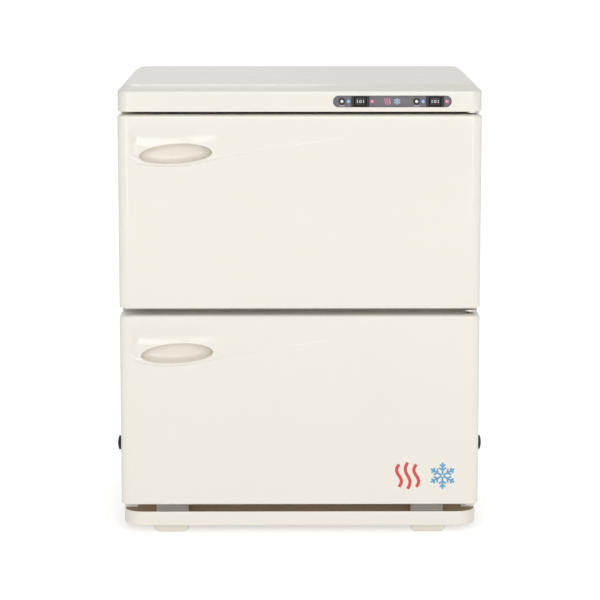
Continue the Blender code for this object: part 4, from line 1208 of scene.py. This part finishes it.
def rear_screws(low, high):
    """Screws of the rear sheet, each turned its own way: four down each side, two in the middle."""
    head = screw_head(SCREW_RADIUS, SCREW_RISE)
    heads = bmesh.new()
    heights = spread(low.z + 0.030, high.z - 0.012, 4)
    for x in (low.x + SCREW_EDGE, 0.0, high.x - SCREW_EDGE):
        spots = heights if x else (heights[0], heights[-1])
        for z in spots:
            start = len(heads.verts)
            heads.from_mesh(head.data)
            heads.verts.ensure_lookup_table()
            turn = Matrix.Rotation(37.0 * z + 11.0 * x, 4, "Y")
            move = Matrix.Translation((x, high.y + GAP / 3, z)) @ turn
            bmesh.ops.transform(heads, matrix=move, verts=heads.verts[start:])
    bpy.data.objects.remove(head)
    fit("rear_screws", heads, "bright_metal")


def screw_head(radius, rise):
    """A round screw head with a cross recess, facing +Y at the origin."""
    stations = [(radius, 0.0), (radius, rise * 0.3)]
    for step in range(1, 5):
        angle = pi / 2 * step / 4.6
        stations.append((radius * cos(angle), rise * (0.3 + 0.7 * sin(angle))))
    head = place("screw_head", lathe(stations, (0, 0, 0), "Y", 28))
    arm = radius * 0.55
    thin = radius * 0.13
    floor = rise * 0.35
    across = box_mesh((-arm, floor, -thin), (arm, rise * 2, thin))
    along = box_mesh((-thin, floor, -arm), (thin, rise * 2, arm))
    carve(head, [across, along])
    return head


def chamber(row):
    """Deep drawn liner with a rounded back."""
    middle = chamber_middle(row)
    front = LINER_LOW.y
    back = LINER_HIGH.y - SHEET
    path = bent([(LINER_LIP, front, 0), (0, front, 0.002), (0, back, LINER_BEND), (-0.070, back, 0)], steps=7)
    inside = [mouth_loop(middle, grow, y) for grow, y in path[:-1]]
    inside.append(mouth_loop(middle, path[-2][0], back))
    outside = [
        mouth_loop(middle, -LINER_BEND, back + SHEET),
        mouth_loop(middle, SHEET * 0.9, back - 0.009),
        mouth_loop(middle, SHEET * 0.9, front + SHEET + 0.001),
        mouth_loop(middle, LINER_LIP, front + SHEET),
    ]
    fit(f"{row}_chamber_liner", vessel(inside, outside), "liner_metal", nodes=[f"{row}_liner"])


def rack(row):
    """Towel rack of bent wires on three straight ones."""
    name = f"{row}_rack"
    low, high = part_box(name)
    left = low.x + WIRE
    right = high.x - WIRE
    top = high.z - WIRE
    route = bent([(left, low.z, 0), (left, top, 0.005), (right, top, 0.005), (right, low.z, 0)], steps=6)
    ends = (low.y + WIRE, high.y - WIRE)
    bars = [rod(upright(route, y), WIRE, Vector((0, 1, 0))) for y in spread(*ends, 14)]
    for x in (low.x + 0.020, 0.0, high.x - 0.020):
        straight = [(x, y, high.z - 3 * WIRE) for y in ends]
        bars.append(rod(straight, WIRE, Vector((1, 0, 1)).normalized()))
    fit(f"{row}_wire_rack", gather(bars), "bright_metal", nodes=[name])


def bumper(side):
    """Rubber stop with a stepped crown."""
    name = f"{side}_side_bumper"
    low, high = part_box(name)
    root, tip = (high.x, low.x) if side == "left" else (low.x, high.x)
    radius = (high.z - low.z) / 2
    outline = [(1, 0), (1, 0.74), (0.985, 0.79), (0.93, 0.83), (0.86, 0.85)]
    for step in range(1, 7):
        share = step / 6.3
        outline.append((0.86 * (1 - share), 0.85 + 0.15 * (1 - (1 - share) ** 2)))
    stations = [(radius * wide, root + (tip - root) * out) for wide, out in outline]
    mesh = lathe(stations, (0, (low.y + high.y) / 2, (low.z + high.z) / 2), "X")
    fit(f"{side}_stop", mesh, "black_rubber", nodes=[name], angle=50)


def gland():
    """Cord gland with a ribbed collar."""
    low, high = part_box("cord_gland")
    x = (low.x + high.x) / 2
    z = (low.z + high.z) / 2
    radius = (high.x - low.x) / 2
    length = high.y - low.y
    stations = [(radius, low.y), (radius, low.y + length * 0.22)]
    for step in range(3):
        start = low.y + length * (0.28 + 0.2 * step)
        groove = radius * (0.82 - 0.06 * step)
        rib = radius * (0.92 - 0.07 * step)
        stations += [(groove, start), (groove, start + length * 0.07)]
        stations += [(rib, start + length * 0.10), (rib, start + length * 0.17)]
    stations += [(radius * 0.68, high.y), (0.0036, high.y), (0.0035, low.y + length * 0.25)]
    fit("gland_collar", lathe(stations, (x, 0, z), "Y"), "black_rubber", nodes=["cord_gland"])


def build_hinges():
    for name in ("top_hinge", "centre_hinge", "bottom_hinge"):
        hinge(name)


def hinge(name):
    """A tongue with a round nose and a darker pin; the centre one also has a leaf in the frame."""
    low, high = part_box(name)
    bases = {"top_hinge": high.z - HINGE_PLATE, "bottom_hinge": low.z}
    base = bases.get(name, (low.z + high.z - HINGE_PLATE) / 2)
    back = FRAME_LOW.y + 0.001 if name == "centre_hinge" else high.y

    def tongue(inset):
        nose = HINGE_NOSE - inset
        return rounded(low.x + inset, high.x - inset, low.y + inset, back - inset, nose, 0.0012)

    def leaf(inset):
        tall = LEAF_HALF - inset
        middle = base + HINGE_PLATE / 2
        return rounded(low.x + inset, high.x - inset, middle - tall, middle + tall, 0.0025)

    shapes = [slab(tongue, base, base + HINGE_PLATE, 0.0005, level)]
    if name == "centre_hinge":
        shapes.append(slab(leaf, FRAME_LOW.y, FRAME_LOW.y + 0.002, 0.0003, upright))
    fit(f"{name}_plate", gather(shapes), "bright_metal", nodes=[name])
    end = PIN_RADIUS - PIN_TIP
    stations = [(end, low.z), (PIN_RADIUS, low.z + PIN_TIP), (PIN_RADIUS, high.z - PIN_TIP), (end, high.z)]
    pin = lathe(stations, (PIVOT_X, PIVOT_Y, 0), "Z", 32)
    fit(f"{name}_pin", pin, "pin_steel", slot="bright_metal")


def build_base():
    pan()
    for side in SIDES:
        for end in ("front", "rear"):
            leg(f"{side}_{end}_leg", end)
    tray()


def pan():
    """Folded base pan with a shoulder for the body's sheets, rounded corners and a hemmed lower rim."""
    low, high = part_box("base_pan")
    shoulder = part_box("left_side_panel")[0].z - GAP
    ceiling = high.z - SHEET
    wall = PAN_NECK + SHEET

    def plan(inset, z, front):
        corner = max(0.004 - inset, 0.001)
        outline = rounded(low.x + inset, high.x - inset, low.y + front, high.y - inset, corner)
        return level(outline, z)

    # Inset at the sides and the back, height, and inset at the front
    profile = [
        (wall + 0.002, ceiling, SHEET + 0.002),
        (wall, ceiling - 0.0015, SHEET),
        (wall, low.z + 0.0004, SHEET),
        (wall - 0.0003, low.z, SHEET - 0.0003),
        (0.0003, low.z, 0.0003),
        (0, low.z + 0.0004, 0),
        (0, shoulder - 0.0005, 0),
        (0.0005, shoulder, 0),
        (PAN_NECK, shoulder, 0),
        (PAN_NECK, high.z - 0.002, 0),
        (PAN_NECK + 0.0006, high.z - 0.0006, 0.0006),
        (PAN_NECK + 0.002, high.z, 0.002),
    ]
    # Its brown paint is painted shade for the space under the cabinet, seen through the gap below the lower
    # door
    fit("pan_shell", skin([plan(*spot) for spot in profile]), "brown_paint", nodes=["base_pan"])


def leg(name, end):
    """Foot pad with rounded rims and the post that stands on it."""
    low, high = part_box(name)
    x = (low.x + high.x) / 2
    post_back = high.y if end == "front" else (low.y + high.y + POST_LENGTH) / 2
    profile = [
        (0.012, 0, 0),
        (PAD_CHAMFER, 0, 0.0012),
        (0, PAD_CHAMFER, 0.0016),
        (0, PAD_TOP, 0.0008),
        (0.006, PAD_TOP, 0),
    ]

    def pad(inset, z):
        return level(rounded(low.x + inset, high.x - inset, low.y + inset, high.y - inset, 0.0025), z)

    def post(inset):
        half = POST_HALF - inset
        front = post_back - POST_LENGTH + inset
        return rounded(x - half, x + half, front, post_back - inset, 0.002)

    foot = place(f"{name}_foot", skin([pad(inset, z) for inset, z in bent(profile, steps=4)]))
    carve(foot, [slab(post, PAD_CHAMFER, high.z, 0.0006, level, 3)], "UNION")
    show(foot, "cream_plastic", nodes=[name])


def tray():
    """Drip tray with round ends, a rolled rim and a low rear wall."""
    low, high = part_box("drip_tray")
    tall = high.z - low.z
    hold = high.y - 0.011

    def plan(inset, share, floor):
        front_turn = TRAY_CORNER - inset
        rear_turn = max(0.006 - inset, 0.0012)
        left = low.x + inset
        outline = rounded(left, high.x - inset, low.y + inset, high.y - inset, front_turn, rear_turn, 14)
        loop = []
        for x, y in dense(outline, 40, 12):
            rim = high.z - (tall - TRAY_REAR) * ease((y - hold) / TRAY_FALL)
            loop.append((x, y, floor + (rim - floor) * share))
        return loop

    # Inset, and height as a share of the rim's
    outer = [(0.0100, 0.0), (0.0022, 0.0), (0.0012, 0.02), (0.0004, 0.07), (0.0, 0.14)]
    outer += [(0, 0.93), (0.0002, 0.975), (0.0006, 1.0)]
    rolled = [(TRAY_WALL - 0.0006, 1.0), (TRAY_WALL - 0.0002, 0.97)]
    inner = [(TRAY_WALL, 0.90), (TRAY_WALL * 1.4, 0.35), (TRAY_WALL * 1.9, 0.12)]
    inner += [(0.0052, 0.02), (0.0095, 0.0)]
    loops = [plan(inset, share, low.z) for inset, share in outer + rolled]
    loops += [plan(inset, share, low.z + TRAY_WALL) for inset, share in inner]
    fit("tray_shell", skin(loops), "cream_gloss", body="tray", nodes=["drip_tray"], angle=50)


def dense(outline, across, along):
    """Divide the straight sides of a rounded rectangle: so many steps across, so many along."""
    points = []
    corner = len(outline) // 4
    for index, here in enumerate(outline):
        points.append(here)
        if index % corner != corner - 1:
            continue
        after = outline[(index + 1) % len(outline)]
        count = across if index // corner in (0, 2) else along
        for step in range(1, count):
            share = step / count
            points.append(tuple(start + (end - start) * share for start, end in zip(here, after)))
    return points


# Solids that stay as they are, with a finish


def dress_solids():
    """Give each solid that still shows the finish of its slot."""
    slots = {item["node"]: item["material_slot"] for item in frame["record"]["subparts"]}
    for name, solid in frame["nodes"].items():
        if solid.hide_render:
            continue
        solid.data.materials.clear()
        solid.data.materials.append(LOOKS[slots[name]])


# Studio


def aim(item, target):
    """Point a camera or a lamp at a place."""
    direction = Vector(target) - item.location
    item.rotation_euler = direction.to_track_quat("-Z", "Y").to_euler()


def add_camera():
    data = bpy.data.cameras.new("camera")
    data.lens = CAMERA_LENS
    data.sensor_width = CAMERA_SENSOR
    camera = add_object("camera", data)
    camera.location = (CAMERA_SIDE, FRONT - CAMERA_BACK, CAMERA_HEIGHT)
    aim(camera, CAMERA_AIM)
    bpy.context.scene.camera = camera


def add_lamp(name, location, size, power):
    data = bpy.data.lights.new(name, "AREA")
    data.shape = "RECTANGLE"
    data.size, data.size_y = size
    data.energy = power
    lamp = add_object(name, data)
    lamp.location = location
    lamp.visible_camera = False
    aim(lamp, LAMP_AIM)


def seen_level(tree, level_of_light, level_seen):
    """A strength for what the camera sees, and another for the light that it gives."""
    made = node(tree, "ShaderNodeMapRange", To_Min=level_of_light, To_Max=level_seen)
    path = tree.nodes.new("ShaderNodeLightPath")
    link(path.outputs["Is Camera Ray"], made.inputs["Value"])
    return made


def add_world():
    """White backdrop; only the camera sees it at full strength, and it lights less from the sides."""
    world = bpy.data.worlds.new("studio")
    bpy.context.scene.world = world
    world.use_nodes = True
    tree = world.node_tree
    background = tree.nodes["Background"]
    set_inputs(background, Color=(1, 1, 1, 1))
    around = tree.nodes.new("ShaderNodeTexCoord")
    direction = tree.nodes.new("ShaderNodeSeparateXYZ")
    link(around.outputs["Generated"], direction.inputs["Vector"])
    left = map_range(tree, direction.outputs["X"], -SIDE_FULL, -SIDE_FROM, WORLD_LEFT, 1.0)
    right = map_range(tree, direction.outputs["X"], SIDE_FULL, SIDE_FROM, WORLD_RIGHT, WORLD_LEVEL)
    strength = seen_level(tree, WORLD_LEVEL, 1.0)
    link(times(tree, left, right), strength.inputs["To Min"])
    link(strength.outputs["Result"], background.inputs["Strength"])


def add_floor():
    mesh = bmesh.new()
    bmesh.ops.create_grid(mesh, x_segments=8, y_segments=8, size=40)
    floor = place("floor", mesh)
    floor.location.z = FLOOR_Z
    tree, shader = surface("floor", (0.82, 0.82, 0.82), 0.8, mottle=0.005, patch=1, bump=0)
    set_inputs(shader, Specular_IOR_Level=0.0, Emission_Color=(1, 1, 1, 1))
    glow = seen_level(tree, FLOOR_GLOW, FLOOR_SEEN)
    link(glow.outputs["Result"], shader.inputs["Emission Strength"])
    floor.data.materials.append(LOOKS["floor"])


def add_studio():
    add_world()
    add_floor()
    for lamp in LAMPS:
        add_lamp(*lamp)
    bpy.context.scene.view_settings.view_transform = "Standard"


make_looks()
build_doors()
build_marks()
build_controls()
build_cover()
build_body()
build_hinges()
build_base()
dress_solids()
add_studio()
add_camera()
